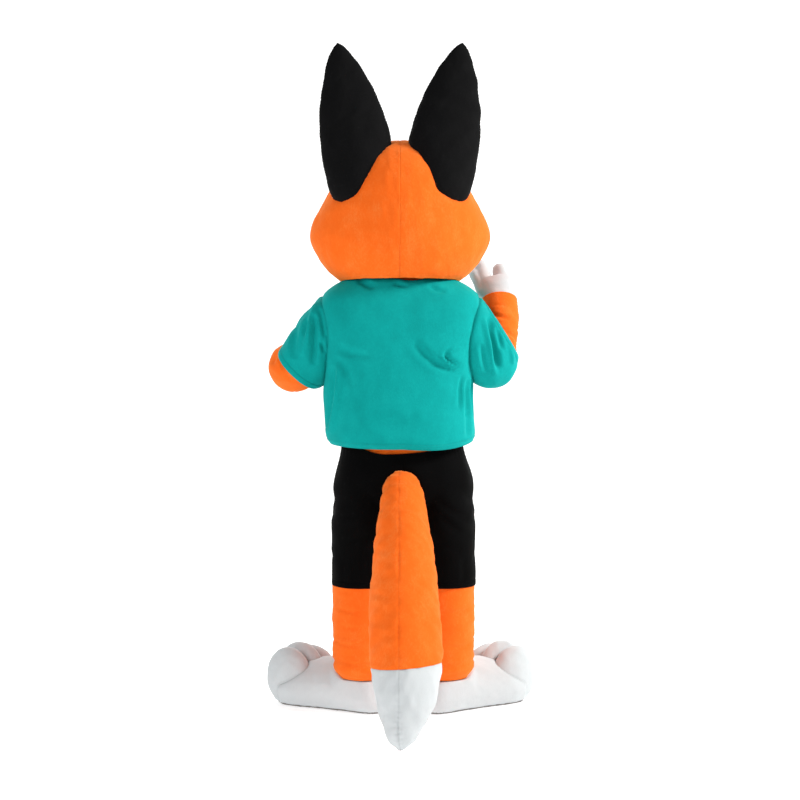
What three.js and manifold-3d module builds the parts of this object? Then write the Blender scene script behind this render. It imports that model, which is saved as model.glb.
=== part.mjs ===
// Fox mascot costume, hollow and in its worn pose: padded head, plush bodysuit, cropped tee, shorts,
// stuffed tail, padded feet and gloves. Millimetres; x points to the wearer's left, y to the back, z up.
// Every height in the tables is taken above the soles. The whole group is let down by SHOULDER_HEIGHT,
// so the origin is where the wearer's shoulders carry the costume.
import * as THREE from "three";
import { mergeVertices } from "three/addons/utils/BufferGeometryUtils.js";
import Module from "manifold-3d";

const wasm = await Module();
wasm.setup();

// ---- Driving dimensions ----
const SHOULDER_HEIGHT = 1400;
const SEAM = 0.3; // between neighbouring pieces
const BIG = 6000; // reach of a cutting block
const TEE_WALL = 2;
const SHORTS_WALL = 2;
const SUIT_WALL = 3;
const HEAD_WALL = 12;
const SHOE_WALL = 14;
const GLOVE_WALL = 3;
const SOLE = 12; // thickness
const SOLE_INSET = 4; // how far the sole lies in from the foot
const HIP_X = -12; // the weight rests on the wearer's right leg
const OPEN = 8; // how far an inner form runs past an open edge

const BACK_STEPS = 6; // facets across the back half of the trunk
const FRONT_STEPS = 6;
const HEAD_SIDES = 16;
const LIMB_SIDES = 8;
const SLEEVE_SIDES = 12;
const LEG_SIDES = 10;
const TAIL_SIDES = 10;
const EAR_SIDES = 8;
const SHOE_SIDES = 6;
const PALM_SIDES = 6;
const FINGER_SIDES = 5;

// ---- Tables: one row for each section, with named columns ----
const rowsOf = (columns, rows) =>
  rows.map((row) => Object.fromEntries(columns.split(" ").map((name, i) => [name, row[i]])));

// The trunk of the bodysuit from the crotch to the neck. ease is the room between it and the tee.
const TRUNK = rowsOf("h x wide front back square dipFront dipBack ease", [
  [668, -12, 205, 96, 108, 2.2, 0, 0, 0],
  [700, -12, 226, 138, 150, 2.3, 0, 0, 0],
  [745, -12, 234, 156, 168, 2.4, 0, 0, 0],
  [800, -12, 226, 160, 170, 2.4, 0, 0, 0],
  [858, -10, 208, 156, 158, 2.4, 0, 0, 38],
  [905, -5, 201, 156, 152, 2.5, 0, 0, 46],
  [960, 1, 204, 160, 152, 2.5, 0, 0, 46],
  [1040, 5, 216, 166, 156, 2.6, 0, 0, 34],
  [1130, 6, 230, 170, 162, 2.9, 0, 0, 18],
  [1220, 3, 244, 170, 168, 3.3, 0, 0, 9],
  [1300, 0, 260, 164, 168, 3.5, 0, 0, 3],
  [1358, -2, 269, 150, 157, 3.2, 0, 0, 0.5],
  [1394, -2, 258, 136, 144, 2.8, 0, 0, 0.5],
  [1422, 0, 228, 120, 130, 2.4, 2, 2, 0.6],
  [1441, 0, 190, 108, 119, 2.2, 8, 6, 2],
  [1452, 0, 152, 99, 111, 2, 24, 18, 3.2],
  [1457, 0, 124, 94, 105, 2, 52, 30, 3.6],
]);
const CROTCH_ROW = 0;
const WAIST_ROW = 4; // the suit's waist seam
const SEAT_ROWS = [1.3, 2.6, WAIST_ROW];
const WAIST_DROP = 0.6; // the trunk's edge leans in, so the trousers start this far below it
const SHORTS_TOP_ROW = 4.55;
const TRUNK_TOP_ROW = TRUNK.length - 1;
const TEE_HEM = { sides: 4.86, back: 4.42, front: 4.6 }; // rows that the tee's hem follows
const SUIT_ROWS = [WAIST_ROW, 5, 9, 12, 14, TRUNK_TOP_ROW];
const TEE_ROWS = [6, 7.5, 9, 10.5, 12, 13, 14, 15.5]; // above its hem

// The suit's neck stands up inside the head.
const COLLAR = rowsOf("h x wide front back dipFront dipBack", [
  [1457.3, 0, 124, 94, 105, 52, 30],
  [1466, 0, 117, 90, 99, 44, 24],
  [1484, 0, 112, 88, 94, 30, 14],
  [1500, 0, 112, 88, 94, 20, 8],
]);
const COLLAR_ROWS = [0, 1, 3];

// Each trouser leg. out is its distance from the hip line.
const LEG = rowsOf("h out y wide back", [
  [111, 131, 0, 106, 100],
  [230, 131, 0, 108, 103],
  [330, 131, 0, 108, 106],
  [430, 131, 0, 109, 110],
  [560, 128, 3, 111, 126],
  [680, 124, 5, 112, 150],
  [800, 112, 5, 92, 140],
]);
const SHORTS_HEM_ROW = 2.92;
const SHORTS_EASE = 0.6; // room between suit and shorts
const SIDE_SEAM_Y = 4;

// The left arm hangs out from the shoulder and bends forward at the elbow.
const LEFT_ARM_PATH = rowsOf("x y h", [
  [150, 5, 1312],
  [232, 6, 1240],
  [306, -2, 1180],
  [358, -56, 1148],
  [352, -124, 1160],
  [314, -206, 1167],
  [276, -290, 1178],
]);
const LEFT_ARM = rowsOf("wide back", [
  [88, 72],
  [86, 74],
  [81, 78],
  [80, 84],
  [78, 80],
  [69, 69],
  [61, 61],
]);
// The right arm is raised: upper arm down to the elbow, forearm up and forward from it.
const RIGHT_UPPER_PATH = rowsOf("x y h", [
  [-150, 5, 1312],
  [-235, 4, 1236],
  [-308, -4, 1176],
]);
const RIGHT_UPPER = rowsOf("wide back", [
  [92, 80],
  [86, 80],
  [74, 74],
]);
const ELBOW = { x: -313, y: -8, h: 1174, radius: 74 };
const RIGHT_FORE_PATH = rowsOf("x y h", [
  [-320, -14, 1178],
  [-335, -40, 1262],
  [-340, -67, 1330],
  [-338, -95, 1392],
]);
const RIGHT_FORE = rowsOf("wide back", [
  [73, 73],
  [66, 67],
  [63, 64],
  [59, 59],
]);

// The tee's sleeves: each ring spans from a point on the shoulder to one on the sleeve's underside.
// reach is how far the back of a ring stands on past it along the arm, and tuck how far its front is
// drawn back, where the arm bends forward.
const LEFT_SLEEVE = rowsOf("topX topH lowX lowH y wide back square reach tuck", [
  [222, 1384, 190, 1170, 4, 1, 106, 2, 0, 0],
  [262, 1388, 224, 1130, 4, 1, 110, 2, 0, 8],
  [306, 1360, 242, 1106, 4, 1, 108, 2.2, 8, 26],
  [346, 1318, 256, 1093, 2, 1, 105, 2.3, 17, 48],
  [378, 1268, 264, 1087, -2, 1, 100, 2.3, 26, 74],
  [402, 1214, 271, 1085, -8, 1, 98, 2.3, 34, 104],
]);
const RIGHT_SLEEVE = rowsOf("topX topH lowX lowH y wide back square reach tuck", [
  [-222, 1384, -188, 1160, 4, 1, 106, 2, 0, 0],
  [-258, 1389, -224, 1120, 2, 1, 110, 2.2, 0, 0],
  [-269, 1387, -268, 1090, -2, 1, 109, 2.4, 0, 0],
  [-275, 1384, -317, 1081, -12, 1, 105, 2.6, 0, 8],
  [-279, 1381, -366, 1103, -26, 1, 100, 2.8, 0, 16],
  [-282, 1378, -393, 1143, -40, 1, 99, 2.9, 0, 24],
  [-284, 1375, -403, 1187, -52, 1, 96, 3, 0, 32],
]);

// Pull creases and hanging folds of the tee, each a trough between two points.
const FOLDS = rowsOf("x y h toX toY toH width depth", [
  [-70, 185, 1232, -205, 135, 1150, 30, 13], // sweep into the right armpit
  [-150, 165, 1222, -212, 120, 1168, 14, -9], // curled ridge above it
  [-212, 130, 1120, -226, 120, 930, 13, 9], // hanging folds under the armpit
  [-182, 172, 1090, -196, 178, 925, 16, 5],
  [245, 120, 1190, 225, 150, 1000, 22, 5],
  [-300, 90, 1330, -322, 95, 1130, 15, 9], // creases of the bent right sleeve
  [-352, 70, 1250, -318, 95, 1120, 13, 7],
  [285, 90, 1330, 275, 105, 1130, 14, 6], // creases of the left sleeve
  [318, 85, 1285, 305, 95, 1110, 13, 5],
]);

// The stuffed tail leaves the seat and hangs down to its tip.
const TAIL_PATH = rowsOf("x y h", [
  [-6, 120, 762],
  [-7, 190, 752],
  [-10, 252, 640],
  [-12, 310, 500],
  [-14, 362, 370],
  [-19, 408, 250],
  [-15, 448, 150],
  [-6, 482, 70],
]);
const TAIL = rowsOf("wide back", [
  [48, 46],
  [62, 58],
  [84, 82],
  [101, 99],
  [109, 106],
  [109, 104],
  [88, 84],
  [52, 50],
]);
const TAIL_TIP = { x: 0, y: 504, h: 9 };
const TIP_SEAM = { at: [-20, 400, 240], facing: [-0.083, 0.087, -1] };
const TAIL_SEAM_X = 4; // the seam down the middle of the tail

// Head: a rounded crown that widens to softly pointed cheeks.
const HEAD = rowsOf("h wide front back square dipFront dipBack", [
  [1441, 197, 160, 157, 2.2, 4, 3],
  [1466, 229, 190, 182, 2.15, 2, 1],
  [1510, 268, 213, 204, 2.05, 0, 0],
  [1556, 294, 225, 217, 1.9, 0, 0],
  [1600, 304, 229, 221, 1.8, 0, 0],
  [1650, 289, 227, 221, 1.85, 0, 0],
  [1708, 258, 219, 215, 1.95, 0, 0],
  [1768, 223, 204, 204, 2.05, 0, 0],
  [1826, 181, 173, 178, 2.1, 0, 0],
  [1872, 128, 126, 133, 2.1, 0, 0],
  [1902, 68, 68, 74, 2, 0, 0],
]);
const HEAD_ROWS = [0, 1, 2, 4, 5.5, 7, 8.2, 9.3, 10];
const CROWN = 1914;
const CHEEK_ROW = 3; // of HEAD_ROWS, where the white cheeks meet the brow

const EAR_PATH = rowsOf("x y h", [
  [126, 106, 1745],
  [140, 100, 1850],
  [156, 92, 1950],
  [174, 84, 2050],
  [192, 76, 2142],
  [203, 71, 2203],
]);
const EAR = rowsOf("wide back front", [
  [108, 80, 62],
  [117, 66, 42],
  [112, 50, 26],
  [91, 37, 16],
  [58, 26, 10],
  [26, 14, 6],
]);
const EAR_TIP = { x: 208, y: 69, h: 2230 };

const MUZZLE_PATH = rowsOf("x y h", [
  [0, -170, 1586],
  [0, -240, 1580],
  [0, -300, 1572],
  [0, -340, 1566],
]);
const MUZZLE = rowsOf("wide back", [
  [118, 74],
  [100, 66],
  [72, 52],
  [44, 34],
]);
const MUZZLE_TIP = { x: 0, y: -354, h: 1563 };
const NOSE = { x: 0, y: -352, h: 1592, wide: 34, deep: 24, high: 25 };
const EYE = { x: 88, y: -206, h: 1686, wide: 33, deep: 20, high: 46 };

// Padded foot along its own length l from the ankle, and its three toes.
const SHOE = rowsOf("l wide top", [
  [-95, 46, 84],
  [-78, 70, 110],
  [-45, 84, 130],
  [52, 89, 160],
  [130, 95, 158],
  [205, 101, 142],
  [252, 96, 118],
  [282, 68, 88],
]);
const SHOE_TIP = { l: 292, h: 45 };
const SHOE_BULGE = 20; // how far its sides swell past the sole
const SHOE_HEEL = { behind: 9, h: 44 }; // its rearmost point, behind the first section
const SHOE_SQUARE = 2.3; // of its sections, as in the tables
const SHOE_REACH = 100; // how far from the ankle the foot grows by its full wall
const SHOE_ANKLE = { radius: 72, high: 400 }; // the cut that makes the foot's opening
const SHOE_TURN = { left: 27, right: 34 }; // degrees between a foot and the line across both
const SHOE_AT = { out: 131, y: -20 };
const TOE = { l: 248, long: 102, wide: 45, high: 108, centre: 95, apart: 62, seam: 205 };
const TOE_PAD = { share: 0.8, sides: 8 }; // the sole under a toe, as a share of its width and length

// Gloves, in the hand's own directions: across to the thumb's side, along the hand, and up from its back.
const PALM = rowsOf("along wide back", [
  [-34, 0, 0], // the cuff takes its radius from the sleeve
  [0, 0, 0],
  [38, 59, 42],
  [84, 60, 31],
]);
const FINGERS = rowsOf("across along up toAcross toAlong toUp radius", [
  [-40, 54, 0, -50, 120, -2, 20],
  [0, 54, 0, 0, 148, -3, 20],
  [40, 54, 0, 52, 132, -2, 20],
  [38, 24, -22, 54, 72, -58, 20],
]);
const RIGHT_HAND = { along: [0.225, -0.372, 0.9], across: [1, 0, 0] };
const LEFT_HAND = { along: [-0.42, -0.9, -0.05], across: [0, 0, 1] };
// A fingertip's radius, and how far it rounds out past its end, as shares of the root's radius.
const FINGERTIP = { taper: 0.8, reach: 0.5 };

// ---- Materials ----
const cloth = (color, roughness) => new THREE.MeshStandardMaterial({ color, roughness, metalness: 0 });
const FINISH = {
  orange: () => cloth(0xff7a28, 0.95),
  teal: () => cloth(0x0fb0a6, 0.9),
  black: () => cloth(0x141416, 0.9),
  shorts: () => cloth(0x101113, 0.8),
  white: () => cloth(0xe4e2e0, 0.95),
  sole: () => cloth(0xcfcbca, 0.8),
  glossy: () => cloth(0x0a0a0c, 0.2),
};

// ---- Reading the tables ----
// A column's value at row position s, on a smooth curve through the rows.
function read(rows, column, s, fallback = 0) {
  if (rows[0][column] === undefined) return fallback;
  const i = THREE.MathUtils.clamp(Math.floor(s), 0, rows.length - 2);
  const value = (k) => rows[THREE.MathUtils.clamp(k, 0, rows.length - 1)][column];
  const [a, b, c, d] = [value(i - 1), value(i), value(i + 1), value(i + 2)];
  const t = s - i;
  return b + 0.5 * t * (c - a + t * (2 * a - 5 * b + 4 * c - d + t * (3 * (b - c) + d - a)));
}

// A section's offset sideways and backwards at angle a, which starts at its side and passes the back.
function section(rows, s, a) {
  const side = Math.cos(a);
  const back = Math.sin(a);
  const power = 2 / read(rows, "square", s, 2);
  const wide = read(rows, "wide", s);
  const behind = read(rows, "back", s, wide);
  const deep = back > 0 ? behind : read(rows, "front", s, behind);
  return [wide * Math.sign(side) * Math.abs(side) ** power, deep * Math.sign(back) * Math.abs(back) ** power];
}

const point = (row) => new THREE.Vector3(row.x, row.y, row.h);
const vector = (xyz) => new THREE.Vector3(...xyz).normalize();
const turns = (count) => Array.from({ length: count }, (_, i) => (2 * Math.PI * i) / count);
const steps = (from, to, count) =>
  Array.from({ length: count + 1 }, (_, i) => from + ((to - from) * i) / count);

// Angles round the trunk, finer over the back by the factor given.
function trunkAngles(fine = 1) {
  const back = steps(0, Math.PI, BACK_STEPS * fine);
  const front = steps(Math.PI, 2 * Math.PI, FRONT_STEPS);
  return [...back, ...front.slice(1, -1)];
}

// The columns of a trunk grid that its back and its front panel take, side seam to side seam.
function trunkColumns(fine) {
  const back = BACK_STEPS * fine;
  return { back: steps(0, back, back), front: steps(back, back + FRONT_STEPS, FRONT_STEPS) };
}

// ---- Grids: rings of points, each ring running round the form ----
function uprightPoint(rows, s, a) {
  const [side, back] = section(rows, s, a);
  const sink = read(rows, a < Math.PI ? "dipBack" : "dipFront", s) * Math.sin(a) ** 2;
  return new THREE.Vector3(read(rows, "x", s) + side, read(rows, "y", s) + back, read(rows, "h", s) - sink);
}

const uprightGrid = (rows, places, angles) => places.map((s) => angles.map((a) => uprightPoint(rows, s, a)));

// Rings square to a smooth path. sideways is the direction that a section's width lies in.
function limbGrid(path, rows, count, sides, sideways) {
  const curve = new THREE.CatmullRomCurve3(path.map(point));
  return steps(0, 1, count).map((t) => {
    const centre = curve.getPoint(t);
    const along = curve.getTangent(t);
    const side = vector(sideways).addScaledVector(along, -vector(sideways).dot(along)).normalize();
    const back = along.clone().cross(side);
    return turns(sides).map((a) => {
      const [u, v] = section(rows, t * (rows.length - 1), a);
      return centre.clone().addScaledVector(side, u).addScaledVector(back, v);
    });
  });
}

// The grid moved out along its normals, by a number or by out(row, column).
function movedOut(grid, out) {
  return grid.map((ring, i) =>
    ring.map((p, j) => {
      const up = grid[Math.min(i + 1, grid.length - 1)][j].clone().sub(grid[Math.max(i - 1, 0)][j]);
      const round = ring[(j + 1) % ring.length].clone().sub(ring.at(j - 1));
      const distance = typeof out === "function" ? out(i, j) : out;
      return p.clone().addScaledVector(round.cross(up).normalize(), distance);
    }),
  );
}

// The grid with its end rings repeated further out, so that an inner form runs past an open edge.
function stretched(grid, atStart, atEnd) {
  const beyond = (ring, inner, mm) =>
    ring.map((p, j) => p.clone().addScaledVector(p.clone().sub(inner[j]).normalize(), mm));
  const first = atStart ? [beyond(grid[0], grid[1], atStart)] : [];
  const last = atEnd ? [beyond(grid.at(-1), grid.at(-2), atEnd)] : [];
  return [...first, ...grid, ...last];
}

// How far the folds move a point: troughs go in, ridges go out, and both fade towards their ends.
function foldAt(p) {
  let out = 0;
  for (const fold of FOLDS) {
    const line = new THREE.Line3(
      new THREE.Vector3(fold.x, fold.y, fold.h),
      new THREE.Vector3(fold.toX, fold.toY, fold.toH),
    );
    const share = line.closestPointToPointParameter(p, true);
    const away = line.at(share, new THREE.Vector3()).distanceTo(p) / fold.width;
    out -= fold.depth * Math.exp(-away * away) * Math.sin(Math.PI * (0.15 + 0.7 * share));
  }
  return out;
}

const folded = (grid) => movedOut(grid, (i, j) => foldAt(grid[i][j]));

// ---- Solids ----
function solidOf(geometry) {
  const bare = geometry.clone();
  bare.deleteAttribute("normal");
  bare.deleteAttribute("uv");
  const merged = mergeVertices(bare, 1e-4);
  return new wasm.Manifold(
    new wasm.Mesh({
      numProp: 3,
      vertProperties: new Float32Array(merged.attributes.position.array),
      triVerts: new Uint32Array(merged.index.array),
    }),
  );
}

const centreOf = (ring) => ring.reduce((sum, p) => sum.add(p), new THREE.Vector3()).divideScalar(ring.length);

function solidFrom(points, faces) {
  const geometry = new THREE.BufferGeometry();
  const places = points.flatMap((p) => [p.x, p.y, p.z]);
  geometry.setAttribute("position", new THREE.Float32BufferAttribute(places, 3));
  geometry.setIndex(faces);
  return solidOf(geometry);
}

// Faces between the rings of a grid whose points start at index base; inward turns them round.
function skin(grid, base = 0, inward = false) {
  const n = grid[0].length;
  const faces = [];
  for (let i = 0; i < grid.length - 1; i++)
    for (let j = 0; j < n; j++) {
      const [a, b] = [base + i * n + j, base + i * n + ((j + 1) % n)];
      faces.push(...(inward ? [a, b + n, b, a, a + n, b + n] : [a, b, b + n, a, b + n, a + n]));
    }
  return faces;
}

// A fan from the ring that starts at index base to one point.
function fan(base, n, tip, turned) {
  return Array.from({ length: n }, (_, j) => {
    const k = (j + 1) % n;
    return turned ? [tip, base + k, base + j] : [tip, base + j, base + k];
  }).flat();
}

// A closed solid through the rings of a grid, each end drawn in to one point.
function filled(grid, start = centreOf(grid[0]), end = centreOf(grid.at(-1))) {
  const n = grid[0].length;
  const count = grid.length * n;
  const faces = [...skin(grid), ...fan(0, n, count, true), ...fan(count - n, n, count + 1, false)];
  return solidFrom([...grid.flat(), start, end], faces);
}

// A tube's wall, between a closed grid and the same grid moved in, open at both ends.
function wall(grid, thickness) {
  const n = grid[0].length;
  const count = grid.length * n;
  const rim = (start, turned) =>
    Array.from({ length: n }, (_, j) => {
      const [a, b] = [start + j, start + ((j + 1) % n)];
      const [c, d] = [a + count, b + count];
      return turned ? [a, d, b, a, c, d] : [a, b, d, a, d, c];
    }).flat();
  const inner = movedOut(grid, -thickness);
  const faces = [...skin(grid), ...skin(inner, count, true), ...rim(0, true), ...rim(count - n, false)];
  return solidFrom([...grid.flat(), ...inner.flat()], faces);
}

// A point moved by half a seam towards another.
const drawnIn = (p, towards) => p.clone().addScaledVector(towards.clone().sub(p).normalize(), SEAM / 2);

// Some rows and columns of a closed grid, with half a seam taken off the edges that meet another panel.
function cutOut(grid, [top, foot], columns, seams) {
  const rows = steps(top, foot, foot - top);
  const picked = rows.map((i) => columns.map((j) => grid[i][j % grid[0].length].clone()));
  const sides = picked.map((ring) => [drawnIn(ring[0], ring[1]), drawnIn(ring.at(-1), ring.at(-2))]);
  picked.forEach((ring, i) => ring.splice(0, 1, sides[i][0]) && ring.splice(-1, 1, sides[i][1]));
  if (seams.low) picked[0] = picked[0].map((p, j) => drawnIn(p, picked[1][j]));
  if (seams.high) picked[picked.length - 1] = picked.at(-1).map((p, j) => drawnIn(p, picked.at(-2)[j]));
  return picked;
}

// A panel: the wall behind some rows and columns of a closed grid. With tips it runs up to a point.
function panel(grid, thickness, { rows = [0, grid.length - 1], columns, seams = {}, tips = [] }) {
  const faces = [grid, movedOut(grid, -thickness)].map((face) => cutOut(face, rows, columns, seams));
  const [n, cols] = [faces[0].length, columns.length];
  const half = n * cols + (tips.length ? 1 : 0);
  const top = (n - 1) * cols;
  const points = faces.flatMap((face, k) => {
    const middle = face.at(-1)[Math.floor(cols / 2)];
    return [...face.flat(), ...(tips.length ? [drawnIn(tips[k], middle)] : [])];
  });
  const across = steps(0, cols - 1, cols - 1);
  const upward = steps(0, n - 1, n - 1).slice(1);
  const triangles = [];
  const both = (a, b, c) => triangles.push(a, b, c, a + half, c + half, b + half);
  for (const i of upward)
    for (const j of across.slice(1)) {
      const [a, b] = [(i - 1) * cols + j - 1, (i - 1) * cols + j];
      both(a, b, b + cols);
      both(a, b + cols, a + cols);
    }
  if (tips.length) for (const j of across.slice(1)) both(top + j - 1, top + j, half - 1);
  const crest = tips.length ? [half - 1, top] : across.slice(0, -1).reverse().map((j) => top + j);
  const edge = [
    ...across,
    ...upward.map((i) => i * cols + cols - 1),
    ...crest,
    ...upward.slice(0, -1).reverse().map((i) => i * cols),
  ];
  edge.forEach((a, k) => {
    const b = edge[(k + 1) % edge.length];
    // The same diagonal is chosen from both sides of a seam, so that its two edges stay parallel.
    const rise = points[b].z - points[a].z || points[b].x - points[a].x;
    if (rise > 0) triangles.push(b, a, b + half, a, a + half, b + half);
    else triangles.push(b, a, a + half, b, a + half, b + half);
  });
  return solidFrom(points, triangles);
}

// Everything beyond a plane, half a seam clear of it.
function beyond(at, facing) {
  const block = new THREE.BoxGeometry(BIG, BIG, BIG).translate(0, 0, (BIG + SEAM) / 2);
  const turn = new THREE.Quaternion().setFromUnitVectors(new THREE.Vector3(0, 0, 1), vector(facing));
  block.applyQuaternion(turn);
  return solidOf(block.translate(...at));
}

const largest = (solid) => solid.decompose().sort((a, b) => b.volume() - a.volume())[0];
const union = (solids) => solids.reduce((sum, solid) => sum.add(solid));

function ball(place, wide, deep = wide, high = wide) {
  return solidOf(
    new THREE.SphereGeometry(1, 8, 5).scale(wide, deep, high).translate(place.x, place.y, place.h),
  );
}

// A named piece of the costume.
function piece(group, name, solid, finish) {
  const { vertProperties, triVerts } = largest(solid).getMesh();
  const geometry = new THREE.BufferGeometry();
  geometry.setAttribute("position", new THREE.BufferAttribute(vertProperties, 3));
  geometry.setIndex(new THREE.BufferAttribute(triVerts, 1));
  const mesh = new THREE.Mesh(geometry, finish());
  mesh.name = name;
  group.add(mesh);
}

// A solid cut in two by a plane; the first name is the part that the plane faces.
function halves(group, names, solid, at, facing, finish) {
  piece(group, names[0], solid.intersect(beyond(at, facing)), finish);
  piece(group, names[1], solid.intersect(beyond(at, facing.map((v) => -v))), finish);
}

const LEFT = [1, 0, 0];
const BACK = [0, 1, 0];

// ---- Forms that several pieces share ----
const trunkGrid = uprightGrid(TRUNK, SUIT_ROWS, trunkAngles());

// The tee's outer face follows the trunk, moved out by its ease and its wall.
function teeGrid() {
  const angles = trunkAngles(2);
  const hem = (a) => {
    const low = Math.sin(a) > 0 ? TEE_HEM.back : TEE_HEM.front;
    return TEE_HEM.sides + (low - TEE_HEM.sides) * Math.sin(a) ** 2;
  };
  const place = [angles.map(hem), ...TEE_ROWS.map((s) => angles.map(() => s))];
  const base = place.map((ring) => ring.map((s, j) => uprightPoint(TRUNK, s, angles[j])));
  return movedOut(base, (i, j) => read(TRUNK, "ease", place[i][j]) + TEE_WALL);
}

const legGrid = (side, places, angles) =>
  uprightGrid(
    LEG.map((row) => ({ ...row, x: HIP_X + side * row.out })),
    places,
    angles,
  );

// Seat and both legs as one solid, moved out by a distance, with the ends run on by open.
function breeches(out, legRows, topRows, open) {
  const seat = movedOut(uprightGrid(TRUNK, topRows, trunkAngles()), out);
  const legs = [1, -1].map((side) =>
    filled(stretched(movedOut(legGrid(side, legRows, turns(LEG_SIDES)), out), open, 0)),
  );
  return union([filled(stretched(seat, 0, open)), ...legs]);
}

// Rings of a sleeve; inwards is 1 for the right one and -1 for the left one.
function sleeveGrid(rows, inwards) {
  return rows.map((row, s) => {
    const top = new THREE.Vector3(row.topX, row.y, row.topH);
    const low = new THREE.Vector3(row.lowX, row.y, row.lowH);
    const side = top.clone().sub(low).multiplyScalar(inwards / 2);
    const outward = side.clone().cross(new THREE.Vector3(0, 1, 0)).normalize();
    const centre = top.add(low).divideScalar(2);
    return turns(SLEEVE_SIDES).map((a) => {
      const [u, v] = section(rows, s, a);
      const ring = centre.clone().addScaledVector(side, u);
      ring.y += v;
      return ring.addScaledVector(outward, (v > 0 ? row.reach : row.tuck) * (v / row.back));
    });
  });
}

const leftArm = limbGrid(LEFT_ARM_PATH, LEFT_ARM, 6, LIMB_SIDES, [0, 0, 1]);
const rightUpper = limbGrid(RIGHT_UPPER_PATH, RIGHT_UPPER, 2, LIMB_SIDES, [0, 0, 1]);
const rightFore = limbGrid(RIGHT_FORE_PATH, RIGHT_FORE, 2, LIMB_SIDES, LEFT);

const leftArmForm = (out, open = 0) => filled(stretched(movedOut(leftArm, out), open, open));

function rightArmForm(out, open = 0) {
  const upper = filled(stretched(movedOut(rightUpper, out), open, 0));
  const fore = filled(stretched(movedOut(rightFore, out), 0, open));
  return union([upper, ball(ELBOW, ELBOW.radius + out), fore]);
}

const tee = folded(teeGrid());
const teeTrunk = filled(movedOut(tee, SEAM));
const head = uprightGrid(HEAD, HEAD_ROWS, turns(HEAD_SIDES));
const crown = (out) => new THREE.Vector3(0, 0, CROWN + out);

const costume = new THREE.Group();
costume.position.z = -SHOULDER_HEIGHT;

// ---- Bodysuit ----
function addSuit(group) {
  const arms = { left: leftArmForm, right: rightArmForm };
  for (const [name, columns] of Object.entries(trunkColumns(1))) {
    const cloth = panel(trunkGrid, SUIT_WALL, { columns });
    const holed = Object.values(arms).reduce((sum, form) => sum.subtract(form(SEAM)), cloth);
    piece(group, "suit_" + name, holed, FINISH.orange);
  }
  const collar = wall(uprightGrid(COLLAR, COLLAR_ROWS, trunkAngles()), SUIT_WALL);
  piece(group, "suit_collar", collar, FINISH.orange);
  const clearOfTrunk = filled(movedOut(trunkGrid, SEAM));
  for (const [side, form] of Object.entries(arms)) {
    const sleeve = form(0).subtract(form(-SUIT_WALL, OPEN)).subtract(clearOfTrunk);
    piece(group, "suit_arm_" + side, sleeve, FINISH.orange);
  }
}

// The suit's trousers reach from its waist seam down onto the feet.
function addTrousers(group, feet) {
  const seatRows = [CROTCH_ROW, ...SEAT_ROWS];
  const legRows = [0, SHORTS_HEM_ROW, 4.5, 6];
  let trousers = breeches(0, legRows, seatRows, 0).subtract(breeches(-SUIT_WALL, legRows, seatRows, OPEN));
  const waist = [0, 0, TRUNK[WAIST_ROW].h - WAIST_DROP];
  trousers = trousers.intersect(beyond(waist, [0, 0, -1]));
  for (const foot of feet) trousers = trousers.subtract(foot);
  halves(group, ["suit_leg_left", "suit_leg_right"], trousers, [HIP_X, 0, 0], LEFT, FINISH.orange);
}

// ---- Tee ----
function addTee(group) {
  const sleeves = {
    left: folded(sleeveGrid(LEFT_SLEEVE, -1)),
    right: folded(sleeveGrid(RIGHT_SLEEVE, 1)),
  };
  for (const [name, columns] of Object.entries(trunkColumns(2))) {
    let body = panel(tee, TEE_WALL, { columns });
    for (const grid of Object.values(sleeves)) body = body.subtract(filled(movedOut(grid, SEAM)));
    piece(group, "tee_" + name, body, FINISH.teal);
  }
  for (const [side, grid] of Object.entries(sleeves)) {
    piece(group, "tee_sleeve_" + side, wall(grid, TEE_WALL).subtract(teeTrunk), FINISH.teal);
  }
}

// ---- Tail, and the shorts that it comes out of ----
const tailGrid = limbGrid(TAIL_PATH, TAIL, 9, TAIL_SIDES, LEFT);
const tailForm = (out) => filled(movedOut(tailGrid, out), undefined, point(TAIL_TIP));

function addTail(group) {
  const seat = filled(movedOut(uprightGrid(TRUNK, [CROTCH_ROW, ...SEAT_ROWS, 5], trunkAngles()), SEAM));
  const whole = tailForm(0).subtract(seat);
  const { at, facing } = TIP_SEAM;
  const tip = whole.intersect(beyond(at, facing));
  const brush = whole.intersect(beyond(at, facing.map((v) => -v)));
  halves(group, ["tail_left", "tail_right"], brush, [TAIL_SEAM_X, 0, 0], LEFT, FINISH.orange);
  halves(group, ["tail_tip_left", "tail_tip_right"], tip, [TAIL_SEAM_X, 0, 0], LEFT, FINISH.white);
}

function addShorts(group) {
  const seatRows = [CROTCH_ROW, ...SEAT_ROWS, 5];
  const legRows = [SHORTS_HEM_ROW, 4.5, 6];
  const outer = breeches(SHORTS_EASE + SHORTS_WALL, legRows, seatRows, 0);
  const top = [0, 0, read(TRUNK, "h", SHORTS_TOP_ROW)];
  const shorts = outer
    .subtract(breeches(SHORTS_EASE, legRows, seatRows, OPEN))
    .intersect(beyond(top, [0, 0, -1]))
    .subtract(tailForm(SEAM));
  for (const [side, facing] of [["left", LEFT], ["right", [-1, 0, 0]]]) {
    const half = shorts.intersect(beyond([HIP_X, 0, 0], facing));
    const names = ["shorts_back_" + side, "shorts_front_" + side];
    halves(group, names, half, [0, SIDE_SEAM_Y, 0], BACK, FINISH.shorts);
  }
}

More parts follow.
